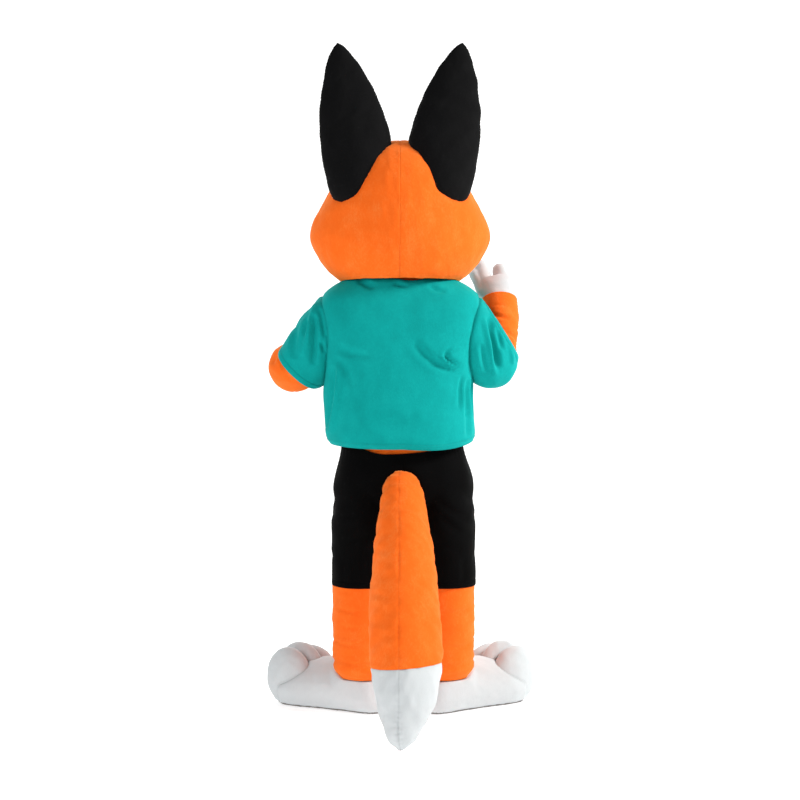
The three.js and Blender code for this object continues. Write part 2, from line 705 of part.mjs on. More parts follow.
// ---- Head ----
function addHead(group) {
  const clearOfHead = filled(movedOut(head, SEAM), undefined, crown(SEAM));
  const [half, quarter] = [HEAD_SIDES / 2, HEAD_SIDES / 4];
  const last = HEAD_ROWS.length - 1;
  const tips = [crown(0), crown(-HEAD_WALL)];
  const brow = { rows: [CHEEK_ROW, last], seams: { low: true }, tips };
  const cheek = { rows: [0, CHEEK_ROW], seams: { high: true } };
  const panels = [
    { name: "head_back_left", from: -1, to: quarter, tips },
    { name: "head_back_right", from: quarter, to: half + 1, tips },
    { name: "head_front_right", from: half + 1, to: half + quarter, ...brow },
    { name: "head_front_left", from: half + quarter, to: 2 * half - 1, ...brow },
    { name: "head_cheek_right", from: half + 1, to: half + quarter, ...cheek, finish: FINISH.white },
    { name: "head_cheek_left", from: half + quarter, to: 2 * half - 1, ...cheek, finish: FINISH.white },
  ];
  for (const { name, from, to, finish = FINISH.orange, ...cut } of panels) {
    const columns = steps(from, to, to - from).map((j) => (j + HEAD_SIDES) % HEAD_SIDES);
    piece(group, name, panel(head, HEAD_WALL, { columns, ...cut }).subtract(teeTrunk), finish);
  }

  const nose = (out) => ball(NOSE, NOSE.wide + out, NOSE.deep + out, NOSE.high + out);
  const muzzle = filled(limbGrid(MUZZLE_PATH, MUZZLE, 3, EAR_SIDES, LEFT), undefined, point(MUZZLE_TIP));
  const snout = muzzle.subtract(clearOfHead);
  halves(group, ["muzzle_left", "muzzle_right"], snout.subtract(nose(SEAM)), [0, 0, 0], LEFT, FINISH.white);
  piece(group, "nose", nose(0), FINISH.glossy);
  for (const [side, name] of [[1, "left"], [-1, "right"]]) {
    const eye = ball({ ...EYE, x: side * EYE.x }, EYE.wide, EYE.deep, EYE.high);
    piece(group, "eye_" + name, eye.subtract(clearOfHead), FINISH.glossy);
    addEar(group, side, name, clearOfHead);
  }
}

// An ear is a black back and a pale front, sewn together round its edge.
function addEar(group, side, name, clearOfHead) {
  const mirrored = (row) => ({ ...row, x: side * row.x });
  const grid = limbGrid(EAR_PATH.map(mirrored), EAR, 4, EAR_SIDES, LEFT);
  const ear = filled(grid, undefined, point(mirrored(EAR_TIP))).subtract(clearOfHead);
  const [low, high] = [point(mirrored(EAR_PATH[0])), point(mirrored(EAR_TIP))];
  const facing = high.sub(low).cross(new THREE.Vector3(1, 0, 0)).normalize();
  const back = ear.intersect(beyond(low.toArray(), facing.toArray()));
  const front = ear.intersect(beyond(low.toArray(), facing.negate().toArray()));
  piece(group, "ear_back_" + name, back, FINISH.black);
  piece(group, "ear_front_" + name, front, FINISH.white);
}

// ---- Feet ----
// The foot's upper, grown by out; drop lets its underside down.
function shoeForm(out, drop = 0) {
  const longer = (l) => l + out * Math.sign(l) * Math.min(1, Math.abs(l) / SHOE_REACH);
  const ring = (row) =>
    steps(0, Math.PI, SHOE_SIDES).map((a) => {
      const rise = Math.sin(a) ** (2 / SHOE_SQUARE);
      const reach = (row.wide + out) * Math.abs(Math.cos(a)) ** (2 / SHOE_SQUARE);
      const across = Math.sign(Math.cos(a)) * (reach + SHOE_BULGE * Math.sin(Math.PI * rise));
      const up = (row.top + out - SOLE) * rise;
      return new THREE.Vector3(longer(row.l), across, SOLE + SEAM + up - (up < 1 ? drop : 0));
    });
  const heel = new THREE.Vector3(SHOE[0].l - SHOE_HEEL.behind - out, 0, SHOE_HEEL.h);
  const front = new THREE.Vector3(SHOE_TIP.l + out, 0, SHOE_TIP.h);
  return filled(SHOE.map(ring), heel, front);
}

function toeForm(k, out) {
  return solidOf(
    new THREE.SphereGeometry(1, 8, 5)
      .rotateX(Math.PI / 2)
      .scale(TOE.long + out, TOE.wide + out, TOE.high + out)
      .translate(TOE.l, k * TOE.apart, TOE.centre),
  );
}

function soleForm() {
  const outline = SHOE.slice(0, -2).map((row) => new THREE.Vector2(row.l, row.wide - SOLE_INSET));
  const mirrored = outline.map((p) => new THREE.Vector2(p.x, -p.y)).reverse();
  const shape = new THREE.Shape([...mirrored.reverse(), ...outline.reverse()]);
  const slab = solidOf(new THREE.ExtrudeGeometry(shape, { depth: SOLE, bevelEnabled: false }));
  const pads = [-1, 0, 1].map((k) =>
    solidOf(
      new THREE.CylinderGeometry(1, 1, SOLE, TOE_PAD.sides)
        .rotateX(Math.PI / 2)
        .scale(TOE.long * TOE_PAD.share, TOE.wide * TOE_PAD.share, 1)
        .translate(TOE.l, k * TOE.apart, SOLE / 2),
    ),
  );
  return union([slab, ...pads]);
}

function addFoot(group, side, name) {
  const foot = new THREE.Group();
  foot.position.set(HIP_X + side * SHOE_AT.out, SHOE_AT.y, 0);
  foot.rotation.z = THREE.MathUtils.degToRad(side > 0 ? -SHOE_TURN.left : SHOE_TURN.right - 180);
  const { radius, high } = SHOE_ANKLE;
  const ankle = solidOf(new THREE.CylinderGeometry(radius, radius, high, LEG_SIDES).rotateX(Math.PI / 2));
  const aboveSole = beyond([0, 0, SOLE + SEAM / 2], [0, 0, 1]);
  const upper = shoeForm(0).subtract(shoeForm(-SHOE_WALL, OPEN)).subtract(ankle);
  piece(foot, "foot_upper_" + name, upper, FINISH.white);
  piece(foot, "foot_sole_" + name, soleForm(), FINISH.sole);
  const toes = [-1, 0, 1];
  for (const k of toes) {
    let toe = toeForm(k, 0)
      .intersect(aboveSole)
      .intersect(beyond([TOE.seam, 0, 0], [1, 0, 0]))
      .subtract(shoeForm(SEAM));
    const edges = [k - 0.5, k + 0.5].map((e) => e * TOE.apart);
    if (k > -1) toe = toe.intersect(beyond([0, edges[0], 0], BACK));
    if (k < 1) toe = toe.intersect(beyond([0, edges[1], 0], [0, -1, 0]));
    piece(foot, ["toe_a_", "toe_b_", "toe_c_"][k + 1] + name, toe, FINISH.white);
  }
  group.add(foot);
  foot.updateMatrix();
  return shoeForm(SEAM).transform(foot.matrix.elements);
}

// ---- Gloves ----
// A glove's cuff fits inside the wrist of the sleeve; its back and its palm are two pieces.
function addGlove(group, name, armGrid, hand) {
  const wrist = centreOf(armGrid.at(-1));
  const armWay = wrist.clone().sub(centreOf(armGrid.at(-2))).normalize();
  const along = vector(hand.along);
  const across = vector(hand.across).addScaledVector(along, -vector(hand.across).dot(along)).normalize();
  const up = along.clone().cross(across).normalize();
  const sleeveInside = armGrid.at(-1)[0].distanceTo(wrist) - SUIT_WALL;
  const cuff = sleeveInside * Math.cos(Math.PI / LIMB_SIDES) - SEAM;
  const palmRing = (row, out) => {
    const inCuff = row.along <= 0;
    const way = inCuff ? armWay : along;
    const reach = row === PALM.at(-1) ? out : 0; // the knuckle end has a wall too
    const centre = wrist.clone().addScaledVector(way, row.along + reach);
    const side = across.clone().addScaledVector(way, -across.dot(way)).normalize();
    const rise = way.clone().cross(side);
    return turns(PALM_SIDES).map((a) =>
      centre
        .clone()
        .addScaledVector(side, ((inCuff ? cuff : row.wide) + out) * Math.cos(a))
        .addScaledVector(rise, ((inCuff ? cuff : row.back) + out) * Math.sin(a)),
    );
  };
  const form = (out, open) => {
    const palm = filled(stretched(PALM.map((row) => palmRing(row, out)), open, 0));
    const place = (u, t, v) =>
      wrist.clone().addScaledVector(across, u).addScaledVector(along, t).addScaledVector(up, v);
    const fingers = FINGERS.map((f) => {
      const root = place(f.across, f.along, f.up);
      const end = place(f.toAcross, f.toAlong, f.toUp);
      const path = [root, end].map((p) => ({ x: p.x, y: p.y, h: p.z }));
      const rows = rowsOf("wide", [[f.radius + out], [FINGERTIP.taper * f.radius + out]]);
      const way = end.clone().sub(root).normalize();
      const tip = end.clone().addScaledVector(way, FINGERTIP.reach * f.radius + out);
      return filled(limbGrid(path, rows, 1, FINGER_SIDES, hand.across), undefined, tip);
    });
    return union([palm, ...fingers]);
  };
  const skin = form(0, 0).subtract(form(-GLOVE_WALL, OPEN));
  const names = ["glove_back_" + name, "glove_palm_" + name];
  halves(group, names, skin, wrist.toArray(), up.toArray(), FINISH.white);
}

const feet = [addFoot(costume, 1, "left"), addFoot(costume, -1, "right")];
addSuit(costume);
addTrousers(costume, feet);
addTee(costume);
addShorts(costume);
addTail(costume);
addHead(costume);
addGlove(costume, "left", leftArm, LEFT_HAND);
addGlove(costume, "right", rightFore, RIGHT_HAND);

export default costume;
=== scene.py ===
"""Looks of the fox mascot costume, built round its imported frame.

The tables give millimetres: x to the wearer's left, y to the back, h above the soles. A form is a
function of s, a place in the rows of its table, and a, an angle round it, and gives outer points.
"""
import math

import bmesh
import bpy
import numpy as np
from mathutils import Matrix, Vector
from mathutils.bvhtree import BVHTree


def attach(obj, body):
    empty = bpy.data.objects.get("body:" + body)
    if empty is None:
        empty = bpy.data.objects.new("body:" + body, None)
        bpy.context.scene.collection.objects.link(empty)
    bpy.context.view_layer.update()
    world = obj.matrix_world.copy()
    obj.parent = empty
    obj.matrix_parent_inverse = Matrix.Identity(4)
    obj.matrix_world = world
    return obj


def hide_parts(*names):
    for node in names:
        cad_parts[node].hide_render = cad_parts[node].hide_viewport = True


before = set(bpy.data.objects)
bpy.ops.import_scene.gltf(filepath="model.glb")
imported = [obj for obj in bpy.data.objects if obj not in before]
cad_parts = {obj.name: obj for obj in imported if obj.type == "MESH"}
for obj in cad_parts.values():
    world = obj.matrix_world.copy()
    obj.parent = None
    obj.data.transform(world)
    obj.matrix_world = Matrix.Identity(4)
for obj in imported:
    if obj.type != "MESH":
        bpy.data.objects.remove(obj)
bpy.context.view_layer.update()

# ---- Driving sizes ----
MM = 0.001
SHOULDER = 1400.0  # height of the frame's origin above the soles
HIP_X = -12.0
TEE_WALL = 2.0
SHORTS_WALL = 2.0
SUIT_WALL = 3.0
GLOVE_WALL = 3.0
HEAD_WALL = 12.0
SHOE_WALL = 14.0
SHORTS_EASE = 0.6
SUIT_INSET = 11.0  # how far the suit lies back from the clothes over it
SLEEVE_INSET = 14.0  # and its arms from the sleeves
SOLE = 12.0
CLEAR = 4.0  # the foot's cloth rolls down over the sole to this height
HEM = 19.0  # depth of a turned hem
CUFF_GAP = 5.0  # between a glove's cuff and the arm
CREASE_GAIN = {"tee": 2.4, "arm": 1.6, "leg": 1.2}
STITCH = {"long": 3.4, "gap": 1.4, "wide": 0.9, "raised": 0.1}
PI = math.pi
TURN = 2 * math.pi
FULL = (0.0, TURN)
GRIDS = {  # rows and columns of each panel
    "trunk": (58, 58), "collar": (12, 110), "arm": (150, 106), "upper_arm": (30, 66), "forearm": (72, 96),
    "leg": (130, 84), "seat": (30, 50), "tee": (106, 108), "sleeve": (84, 118), "tail": (150, 60),
    "tip": (60, 60), "head_back": (150, 98), "head_front": (80, 76), "head_cheek": (38, 84),
    "muzzle": (60, 60), "ear": (150, 64),
}
SKINS = {  # size of the cells, and how often they are smoothed
    "shorts": (6.8, 5), "foot": (5.7, 4), "toe": (4.5, 2), "sole": (5.0, 1), "glove": (3.8, 5),
}


def rows_of(names, rows):
    """A table as a dict of columns."""
    return dict(zip(names.split(), np.array(rows, float).T))


def end_of(table):
    """The place of a table's last row."""
    return len(next(iter(table.values()))) - 1


TRUNK = rows_of("h x wide front back square dipFront dipBack ease", [
    [668, -12, 205, 96, 108, 2.2, 0, 0, 0],
    [700, -12, 226, 138, 150, 2.3, 0, 0, 0],
    [745, -12, 234, 156, 168, 2.4, 0, 0, 0],
    [800, -12, 226, 160, 170, 2.4, 0, 0, 0],
    [858, -10, 208, 156, 158, 2.4, 0, 0, 38],
    [905, -5, 201, 156, 152, 2.5, 0, 0, 46],
    [960, 1, 204, 160, 152, 2.5, 0, 0, 46],
    [1040, 5, 216, 166, 156, 2.6, 0, 0, 34],
    [1130, 6, 230, 170, 162, 2.9, 0, 0, 18],
    [1220, 3, 244, 170, 168, 3.3, 0, 0, 9],
    [1300, 0, 260, 164, 168, 3.5, 0, 0, 3],
    [1358, -2, 269, 150, 157, 3.2, 0, 0, 0.5],
    [1394, -2, 258, 136, 144, 2.8, 0, 0, 0.5],
    [1422, 0, 228, 120, 130, 2.4, 2, 2, 0.6],
    [1441, 0, 190, 108, 119, 2.2, 8, 6, 2],
    [1452, 0, 152, 99, 111, 2, 24, 18, 3.2],
    [1457, 0, 124, 94, 105, 2, 52, 30, 3.6],
])
WAIST_ROW = 4
TRUNK_TOP = end_of(TRUNK)
TEE_HEM = {"sides": 4.86, "back": 4.42, "front": 4.6}
TEE_TOP = 15.5
COLLAR = rows_of("h x wide front back dipFront dipBack", [
    [1457.3, 0, 124, 94, 105, 52, 30],
    [1466, 0, 117, 90, 99, 44, 24],
    [1484, 0, 112, 88, 94, 30, 14],
    [1500, 0, 112, 88, 94, 20, 8],
])
LEG = rows_of("h out y wide back", [
    [111, 131, 0, 106, 100],
    [230, 131, 0, 108, 103],
    [330, 131, 0, 108, 106],
    [430, 131, 0, 109, 110],
    [560, 128, 3, 111, 126],
    [680, 124, 5, 112, 150],
    [800, 112, 5, 92, 140],
])
LEG_END_H = 109.0
SHORTS_HEM_H = 421.6
SHORTS_TOP_H = 885.0
SHORTS_SEAT = (0, 5.4)  # the stretches of the trunk and of the legs that the shorts cover
SHORTS_LEG = (2.5, 6)
SIDE_SEAM_Y = 4.0
LEFT_ARM = rows_of("x y h wide back", [
    [150, 5, 1312, 88, 72],
    [232, 6, 1240, 86, 74],
    [306, -2, 1180, 81, 78],
    [360, -56, 1156, 86, 88],
    [353, -124, 1160, 81, 82],
    [314, -206, 1167, 69, 69],
    [276, -290, 1178, 61, 61],
])
RIGHT_UPPER = rows_of("x y h wide back", [
    [-150, 5, 1312, 92, 80],
    [-235, 4, 1236, 86, 80],
    [-308, -4, 1176, 74, 74],
])
ELBOW = {"at": (-313, -8, 1174), "radius": 74, "inset": 9}
RIGHT_FORE = rows_of("x y h wide back", [
    [-320, -14, 1178, 73, 73],
    [-335, -40, 1262, 66, 67],
    [-343, -67, 1328, 64, 64],
    [-344, -95, 1386, 61, 60],
])
SLEEVE = "topX topH lowX lowH y wide back square reach tuck"
LEFT_SLEEVE = rows_of(SLEEVE, [
    [222, 1384, 190, 1170, 4, 1, 113, 2, 0, 0],
    [264, 1391, 224, 1130, 4, 1, 117, 2, 0, 8],
    [304, 1350, 242, 1106, 4, 1, 112, 2.2, 6, 26],
    [341, 1305, 256, 1093, 2, 1, 105, 2.3, 12, 48],
    [374, 1260, 264, 1087, -2, 1, 100, 2.3, 22, 74],
    [402, 1214, 271, 1085, -8, 1, 98, 2.3, 34, 104],
])
RIGHT_SLEEVE = rows_of(SLEEVE, [
    [-222, 1384, -188, 1160, 4, 1, 115, 2, 0, 0],
    [-258, 1389, -224, 1120, 2, 1, 120, 2.2, 0, 0],
    [-269, 1387, -268, 1090, -2, 1, 117, 2.4, 0, 0],
    [-275, 1384, -317, 1081, -12, 1, 109, 2.6, 0, 8],
    [-279, 1381, -366, 1103, -26, 1, 100, 2.8, 0, 16],
    [-282, 1378, -393, 1143, -40, 1, 99, 2.9, 0, 24],
    [-284, 1375, -403, 1187, -52, 1, 96, 3, 0, 32],
])
TAIL = rows_of("x y h wide back", [
    [-6, 120, 762, 48, 46],
    [-7, 190, 752, 62, 58],
    [-10, 252, 640, 84, 82],
    [-12, 310, 500, 101, 99],
    [-14, 362, 370, 109, 106],
    [-19, 408, 250, 109, 104],
    [-16, 448, 150, 94, 89],
    [-5, 480, 72, 61, 58],
    [-1, 496, 34, 37, 36],
    [0, 504, 8, 0.5, 0.5],
])
TAIL_END = end_of(TAIL)
TIP_SEAM = {"at": (-20, 400, 240), "facing": (-0.083, 0.087, -1)}
TAIL_SEAM_X = 4.0
HEAD = rows_of("h x wide front back square dipFront dipBack", [
    [1441, 0, 197, 160, 157, 2.2, 4, 3],
    [1466, 0, 229, 190, 182, 2.15, 2, 1],
    [1510, 0, 268, 213, 204, 2.05, 0, 0],
    [1556, 0, 294, 225, 217, 1.9, 0, 0],
    [1600, 0, 304, 229, 221, 1.8, 0, 0],
    [1650, 0, 289, 227, 221, 1.85, 0, 0],
    [1708, 0, 258, 219, 215, 1.95, 0, 0],
    [1768, 0, 223, 204, 204, 2.05, 0, 0],
    [1826, 0, 181, 173, 178, 2.1, 0, 0],
    [1872, 0, 128, 126, 133, 2.1, 0, 0],
    [1902, 0, 68, 68, 74, 2, 0, 0],
    [1914, 0, 0, 0, 0, 2, 0, 0],
])
HEAD_TOP = end_of(HEAD)
CHEEK_ROW = 4.0
HEAD_SIDE = math.radians(22.5)  # the side seam lies this far in front of the side
EAR = rows_of("x y h wide back front", [
    [112, 110, 1684, 82, 64, 52],
    [126, 106, 1745, 108, 80, 62],
    [140, 100, 1850, 117, 66, 42],
    [156, 92, 1950, 112, 50, 26],
    [174, 84, 2050, 91, 37, 16],
    [192, 76, 2142, 58, 26, 10],
    [203, 71, 2203, 26, 14, 6],
    [208, 69, 2229, 1, 1, 1],
])
MUZZLE = rows_of("x y h wide back", [
    [0, -170, 1586, 118, 74],
    [0, -240, 1580, 100, 66],
    [0, -300, 1572, 72, 52],
    [0, -340, 1566, 44, 34],
    [0, -353, 1563, 0.5, 0.5],
])
NOSE = {"at": (0, -352, 1592), "size": (34, 24, 25)}
EYE = {"x": 88, "y": -206, "h": 1686, "size": (33, 20, 46)}
SHOE = rows_of("l wide top", [
    [-95, 46, 84],
    [-78, 70, 110],
    [-45, 84, 130],
    [52, 89, 160],
    [130, 95, 158],
    [205, 106, 147],
    [252, 106, 130],
    [286, 90, 104],
])
SHOE_SQUARE = 2.3
SHOE_BULGE = 20
SHOE_HEEL = (-104, 44)
SHOE_TIP = (305, 45)
SHOE_RINGS = {  # the rows, with the heel's and the front's points at their ends
    "l": np.array([SHOE_HEEL[0], *SHOE["l"], SHOE_TIP[0]]),
    "wide": np.array([1.0, *SHOE["wide"], 1.0]),
    "top": np.array([SHOE_HEEL[1], *SHOE["top"], SHOE_TIP[1]]),
}
SHOE_END = end_of(SHOE_RINGS)
SHOE_OPENING = 70
SHOE_TURN = {"left": -27, "right": 34 - 180}
SHOE_AT = {"left": (119, -20), "right": (-143, -20)}
TOE = {"wide": 48, "apart": 62, "below": 12, "pad": 0.5, "hidden": 9}
TOE_BALLS = {  # middle, half length and top, seen from the back of the figure
    "near": (264, 86, 190),
    "middle": (256, 94, 198),
    "far": (248, 102, 177),
}
ANKLE = {"h": LEG_END_H, "instep": 30.0, "reach": 90.0, "edge": 120.0}  # padding under the trouser leg
SOLE_INSET = 4.0
PALM = rows_of("along wide back", [
    [-34, 0, 0],
    [0, 0, 0],
    [38, 58, 42],
    [84, 56, 33],
])
FINGERS = [  # across, along, up of the root, then of the end, and the radius
    [-25, 56, 0, -23, 116, -2, 29],
    [33, 58, 0, 39, 144, -3, 27],
    [50, 50, 0, 64, 122, -4, 22],
    [34, 24, -24, 44, 70, -64, 22],
]
FINGER_TAPER = 0.86
HANDS = {
    "left": {"along": (-0.42, -0.9, -0.05), "across": (0, 0, 1)},
    "right": {"along": (0.16, -0.38, 0.91), "across": (1, 0, 0)},
}

# ---- Creases: u lies along the view that a crease is seen in, and h is its height ----
BACK, FRONT, LEFT, RIGHT = range(4)
LOOKS = {BACK: (0, (0, 1, 0)), FRONT: (0, (0, -1, 0)), LEFT: (1, (1, 0, 0)), RIGHT: (1, (-1, 0, 0))}
CREASE = "look u h midU midH toU toH width depth"
TEE_CREASES = rows_of(CREASE, [
    [BACK, -170, 1204, -151, 1180, -206, 1146, 9, 5.5],
    [BACK, -126, 1186, -156, 1160, -198, 1140, 8, -2.5],
    [BACK, -46, 1232, -106, 1168, -200, 1131, 15, 5],
    [BACK, -203, 1122, -200, 1070, -195, 1010, 9, 5],
    [BACK, -220, 1112, -224, 1050, -224, 985, 10, 6],
    [BACK, -226, 1000, -226, 960, -220, 918, 12, 4],
    [BACK, 192, 1165, 207, 1037, 234, 931, 13, -5],
    [BACK, 216, 1150, 226, 1040, 246, 945, 12, 5],
    [BACK, -168, 1196, -190, 1212, -217, 1220, 7, 2.5],
    [BACK, 205, 1215, 150, 1190, 92, 1184, 16, 3.5],
    [BACK, 214, 1180, 176, 1140, 150, 1084, 14, 3],
    [BACK, 140, 1437, 112, 1424, 88, 1404, 12, 5],
    [BACK, 20, 1424, 0, 1419, -22, 1412, 9, 3],
    [BACK, -96, 1420, -120, 1402, -150, 1398, 10, 3],
    [BACK, -60, 990, 20, 972, 104, 986, 34, 2.5],
    [FRONT, 150, 1210, 186, 1180, 212, 1138, 15, 8],
    [FRONT, 56, 1216, 110, 1166, 190, 1140, 22, 7],
    [FRONT, -140, 1214, -180, 1182, -212, 1146, 14, 7],
    [FRONT, -40, 1180, -100, 1136, -190, 1116, 20, 6],
    [FRONT, -206, 1112, -214, 1040, -214, 960, 11, 5],
    [FRONT, 208, 1108, 219, 1040, 226, 950, 12, 5],
    [FRONT, -70, 1020, 10, 990, 96, 1008, 34, 3],
    [FRONT, 40, 1402, 10, 1396, -30, 1400, 10, 3],
    [LEFT, -80, 1150, -40, 1060, -30, 960, 16, 5],
    [LEFT, 62, 1130, 48, 1040, 40, 950, 13, 5],
    [RIGHT, -70, 1130, -50, 1050, -46, 955, 14, 5],
    [RIGHT, 60, 1150, 66, 1060, 52, 980, 13, 6],
])
SLEEVE_CREASES = rows_of(CREASE, [
    [BACK, -295, 1318, -310, 1228, -326, 1146, 14, 9],
    [BACK, -278, 1306, -296, 1215, -316, 1125, 10, -4],
    [BACK, -322, 1284, -331, 1246, -336, 1208, 9, 4.5],
    [BACK, -366, 1230, -375, 1196, -379, 1160, 9, -3],
    [BACK, -266, 1226, -274, 1176, -288, 1134, 10, 3.5],
    [BACK, -340, 1360, -352, 1320, -352, 1276, 11, 3],
    [BACK, 279, 1370, 300, 1268, 320, 1186, 12, -3.5],
    [BACK, 281, 1322, 282, 1240, 286, 1158, 12, 6],
    [BACK, 304, 1308, 311, 1284, 316, 1252, 9, 3.5],
    [BACK, 264, 1345, 256, 1300, 244, 1248, 10, 4.5],
    [BACK, 258, 1232, 253, 1215, 247, 1196, 8, 3.5],
    [BACK, 342, 1300, 350, 1240, 348, 1180, 14, 3.5],
    [FRONT, -290, 1310, -312, 1236, -330, 1160, 14, 8],
    [FRONT, -320, 1330, -352, 1276, -370, 1210, 12, 5],
    [FRONT, 272, 1330, 290, 1250, 296, 1160, 13, 7],
    [FRONT, 310, 1310, 332, 1244, 332, 1170, 12, 5],
    [LEFT, 60, 1330, 20, 1290, -40, 1276, 16, 1.6],
    [LEFT, -70, 1210, -40, 1180, 10, 1168, 14, 2],
    [RIGHT, 40, 1340, 0, 1300, -60, 1290, 14, 2.5],
    [RIGHT, 30, 1240, -20, 1220, -70, 1226, 12, 3],
])
ARM_CREASES = rows_of(CREASE, [
    [BACK, 410, 1199, 425, 1184, 431, 1162, 10, 4],
    [BACK, 399, 1197, 395, 1172, 380, 1144, 10, 4.5],
    [BACK, 440, 1148, 426, 1128, 400, 1114, 10, 2.2],
    [BACK, 378, 1130, 366, 1115, 350, 1106, 9, 2.2],
    [BACK, -306, 1334, -340, 1324, -372, 1318, 8, 3.5],
    [BACK, -346, 1270, -383, 1258, -406, 1228, 9, 5],
    [BACK, -300, 1286, -330, 1278, -366, 1284, 7, 2.5],
    [BACK, -310, 1362, -334, 1366, -362, 1360, 6, 2.5],
    [FRONT, -300, 1290, -340, 1272, -384, 1278, 9, 4],
    [FRONT, -306, 1340, -340, 1330, -378, 1336, 8, 3],
    [LEFT, -220, 1216, -208, 1168, -214, 1124, 11, 2.5],
    [LEFT, -170, 1228, -152, 1170, -160, 1108, 12, 3.5],
    [LEFT, -112, 1236, -104, 1180, -96, 1114, 12, 3],
    [RIGHT, -20, 1290, -50, 1276, -96, 1284, 8, 3.5],
])
SHORTS_CREASES = rows_of(CREASE, [
    [BACK, -122, 716, -176, 676, -226, 652, 14, 4],
    [BACK, -128, 668, -180, 620, -230, 592, 13, 4],
    [BACK, -100, 600, -150, 560, -206, 548, 15, 3],
    [BACK, 100, 712, 150, 672, 204, 652, 14, 3.5],
    [BACK, 76, 640, 140, 590, 202, 576, 14, 3],
    [BACK, -30, 660, -60, 610, -66, 540, 14, 4],
    [BACK, 8, 656, 36, 600, 44, 536, 14, 4],
    [BACK, -206, 520, -212, 470, -204, 432, 14, 3],
    [BACK, 176, 516, 186, 470, 178, 432, 14, 3],
    [BACK, -96, 500, -110, 460, -104, 428, 14, 2.5],
    [FRONT, -20, 690, -80, 660, -150, 668, 15, 4.5],
    [FRONT, 0, 690, 60, 664, 130, 676, 15, 4.5],
    [FRONT, -24, 650, -70, 600, -90, 530, 16, 4],
    [FRONT, 4, 650, 46, 600, 70, 530, 16, 4],
    [FRONT, -180, 560, -130, 540, -80, 552, 14, 3],
    [LEFT, -80, 700, -10, 660, 70, 680, 16, 4],
    [LEFT, -60, 560, 0, 520, 60, 540, 14, 3],
    [RIGHT, -80, 690, -10, 650, 70, 670, 16, 4],
    [RIGHT, -60, 560, 0, 530, 60, 512, 14, 3],
])
LEG_CREASES = rows_of(CREASE, [
    [BACK, -232, 352, -180, 340, -96, 348, 9, 2.5],
    [BACK, -224, 296, -150, 284, -60, 292, 8, 2],
    [BACK, -240, 236, -196, 226, -150, 232, 8, 2.5],
    [BACK, -236, 176, -160, 162, -60, 172, 9, 3],
    [BACK, -220, 140, -140, 132, -80, 138, 7, 2.5],
    [BACK, 216, 356, 150, 342, 70, 352, 9, 2.5],
    [BACK, 204, 300, 130, 290, 40, 302, 8, 2],
    [BACK, 220, 240, 170, 232, 120, 240, 8, 2.5],
    [BACK, 212, 182, 120, 166, 40, 176, 9, 3],
    [BACK, 190, 142, 120, 134, 60, 140, 7, 2.5],
    [FRONT, -220, 330, -140, 314, -60, 326, 10, 3],
    [FRONT, -230, 220, -140, 204, -50, 214, 10, 3.5],
    [FRONT, -220, 160, -140, 146, -60, 156, 9, 3.5],
    [FRONT, 200, 336, 120, 320, 40, 330, 10, 3],
    [FRONT, 210, 226, 120, 210, 30, 222, 10, 3.5],
    [FRONT, 200, 162, 120, 150, 40, 158, 9, 3.5],
    [LEFT, -70, 250, 0, 236, 70, 246, 9, 3],
    [LEFT, -70, 180, 0, 166, 70, 176, 9, 3.5],
    [RIGHT, -70, 260, 0, 244, 70, 254, 9, 3],
    [RIGHT, -70, 186, 0, 170, 70, 182, 9, 3.5],
])


# ---- Reading the tables ----
def read(table, column, s):
    """A column at row position s, on a smooth curve through the rows."""
    values = table[column]
    last = len(values) - 1
    i = np.clip(np.floor(s).astype(int), 0, last - 1)
    a, b, c, d = (values[np.clip(i + k, 0, last)] for k in (-1, 0, 1, 2))
    t = s - i
    return b + 0.5 * t * (c - a + t * (2 * a - 5 * b + 4 * c - d + t * (3 * (b - c) + d - a)))


def place(table, s, columns="x y h"):
    """The point that three columns give at row position s."""
    return np.stack([read(table, c, s) for c in columns.split()], -1)


def unit(v):
    return v / np.maximum(np.linalg.norm(v, axis=-1, keepdims=True), 1e-9)


def dot(a, b):
    return (a * b).sum(axis=-1, keepdims=True)


def bell(x, width):
    """1 at 0, and fading smoothly to nothing over about twice the width."""
    return np.exp(-(x / width) ** 2)


def rising(x, low, high):
    """A smooth step from 0 at low to 1 at high."""
    t = np.clip((x - low) / (high - low), 0, 1)
    return t * t * (3 - 2 * t)


# ---- Forms ----
def section(table, s, a):
    """A section's reach sideways and backwards at angle a, from its side past its back."""
    side, back = np.cos(a), np.sin(a)
    power = 2 / read(table, "square", s) if "square" in table else 1.0
    behind = read(table, "back", s)
    before = read(table, "front", s) if "front" in table else behind
    deep = np.where(back > 0, behind, before)
    reach = [np.sign(v) * np.abs(v) ** power for v in (side, back)]
    return np.maximum(read(table, "wide", s), 0) * reach[0], np.maximum(deep, 0) * reach[1]


def upright(table):
    """The form whose sections lie level."""
    def form(s, a):
        side, back = section(table, s, a)
        dip = np.where(np.sin(a) > 0, read(table, "dipBack", s), read(table, "dipFront", s))
        high = read(table, "h", s) - dip * np.sin(a) ** 2
        return np.stack([read(table, "x", s) + side, back, high], -1)
    return form


def limb(table, sideways):
    """The form whose sections stand square to its path."""
    def form(s, a):
        low, high = (np.clip(s + step, 0, end_of(table)) for step in (-0.05, 0.05))
        along = unit(place(table, high) - place(table, low))
        side = unit(np.array(sideways, float) - dot(np.array(sideways, float), along) * along)
        behind = np.cross(along, side)
        u, v = section(table, s, a)
        return place(table, s) + side * u[..., None] + behind * v[..., None]
    return form


def leg_form(side):
    table = {**LEG, "x": HIP_X + side * LEG["out"]}

    def form(s, a):
        u, v = section(table, s, a)
        return np.stack([read(table, "x", s) + u, read(table, "y", s) + v, read(table, "h", s)], -1)
    return form


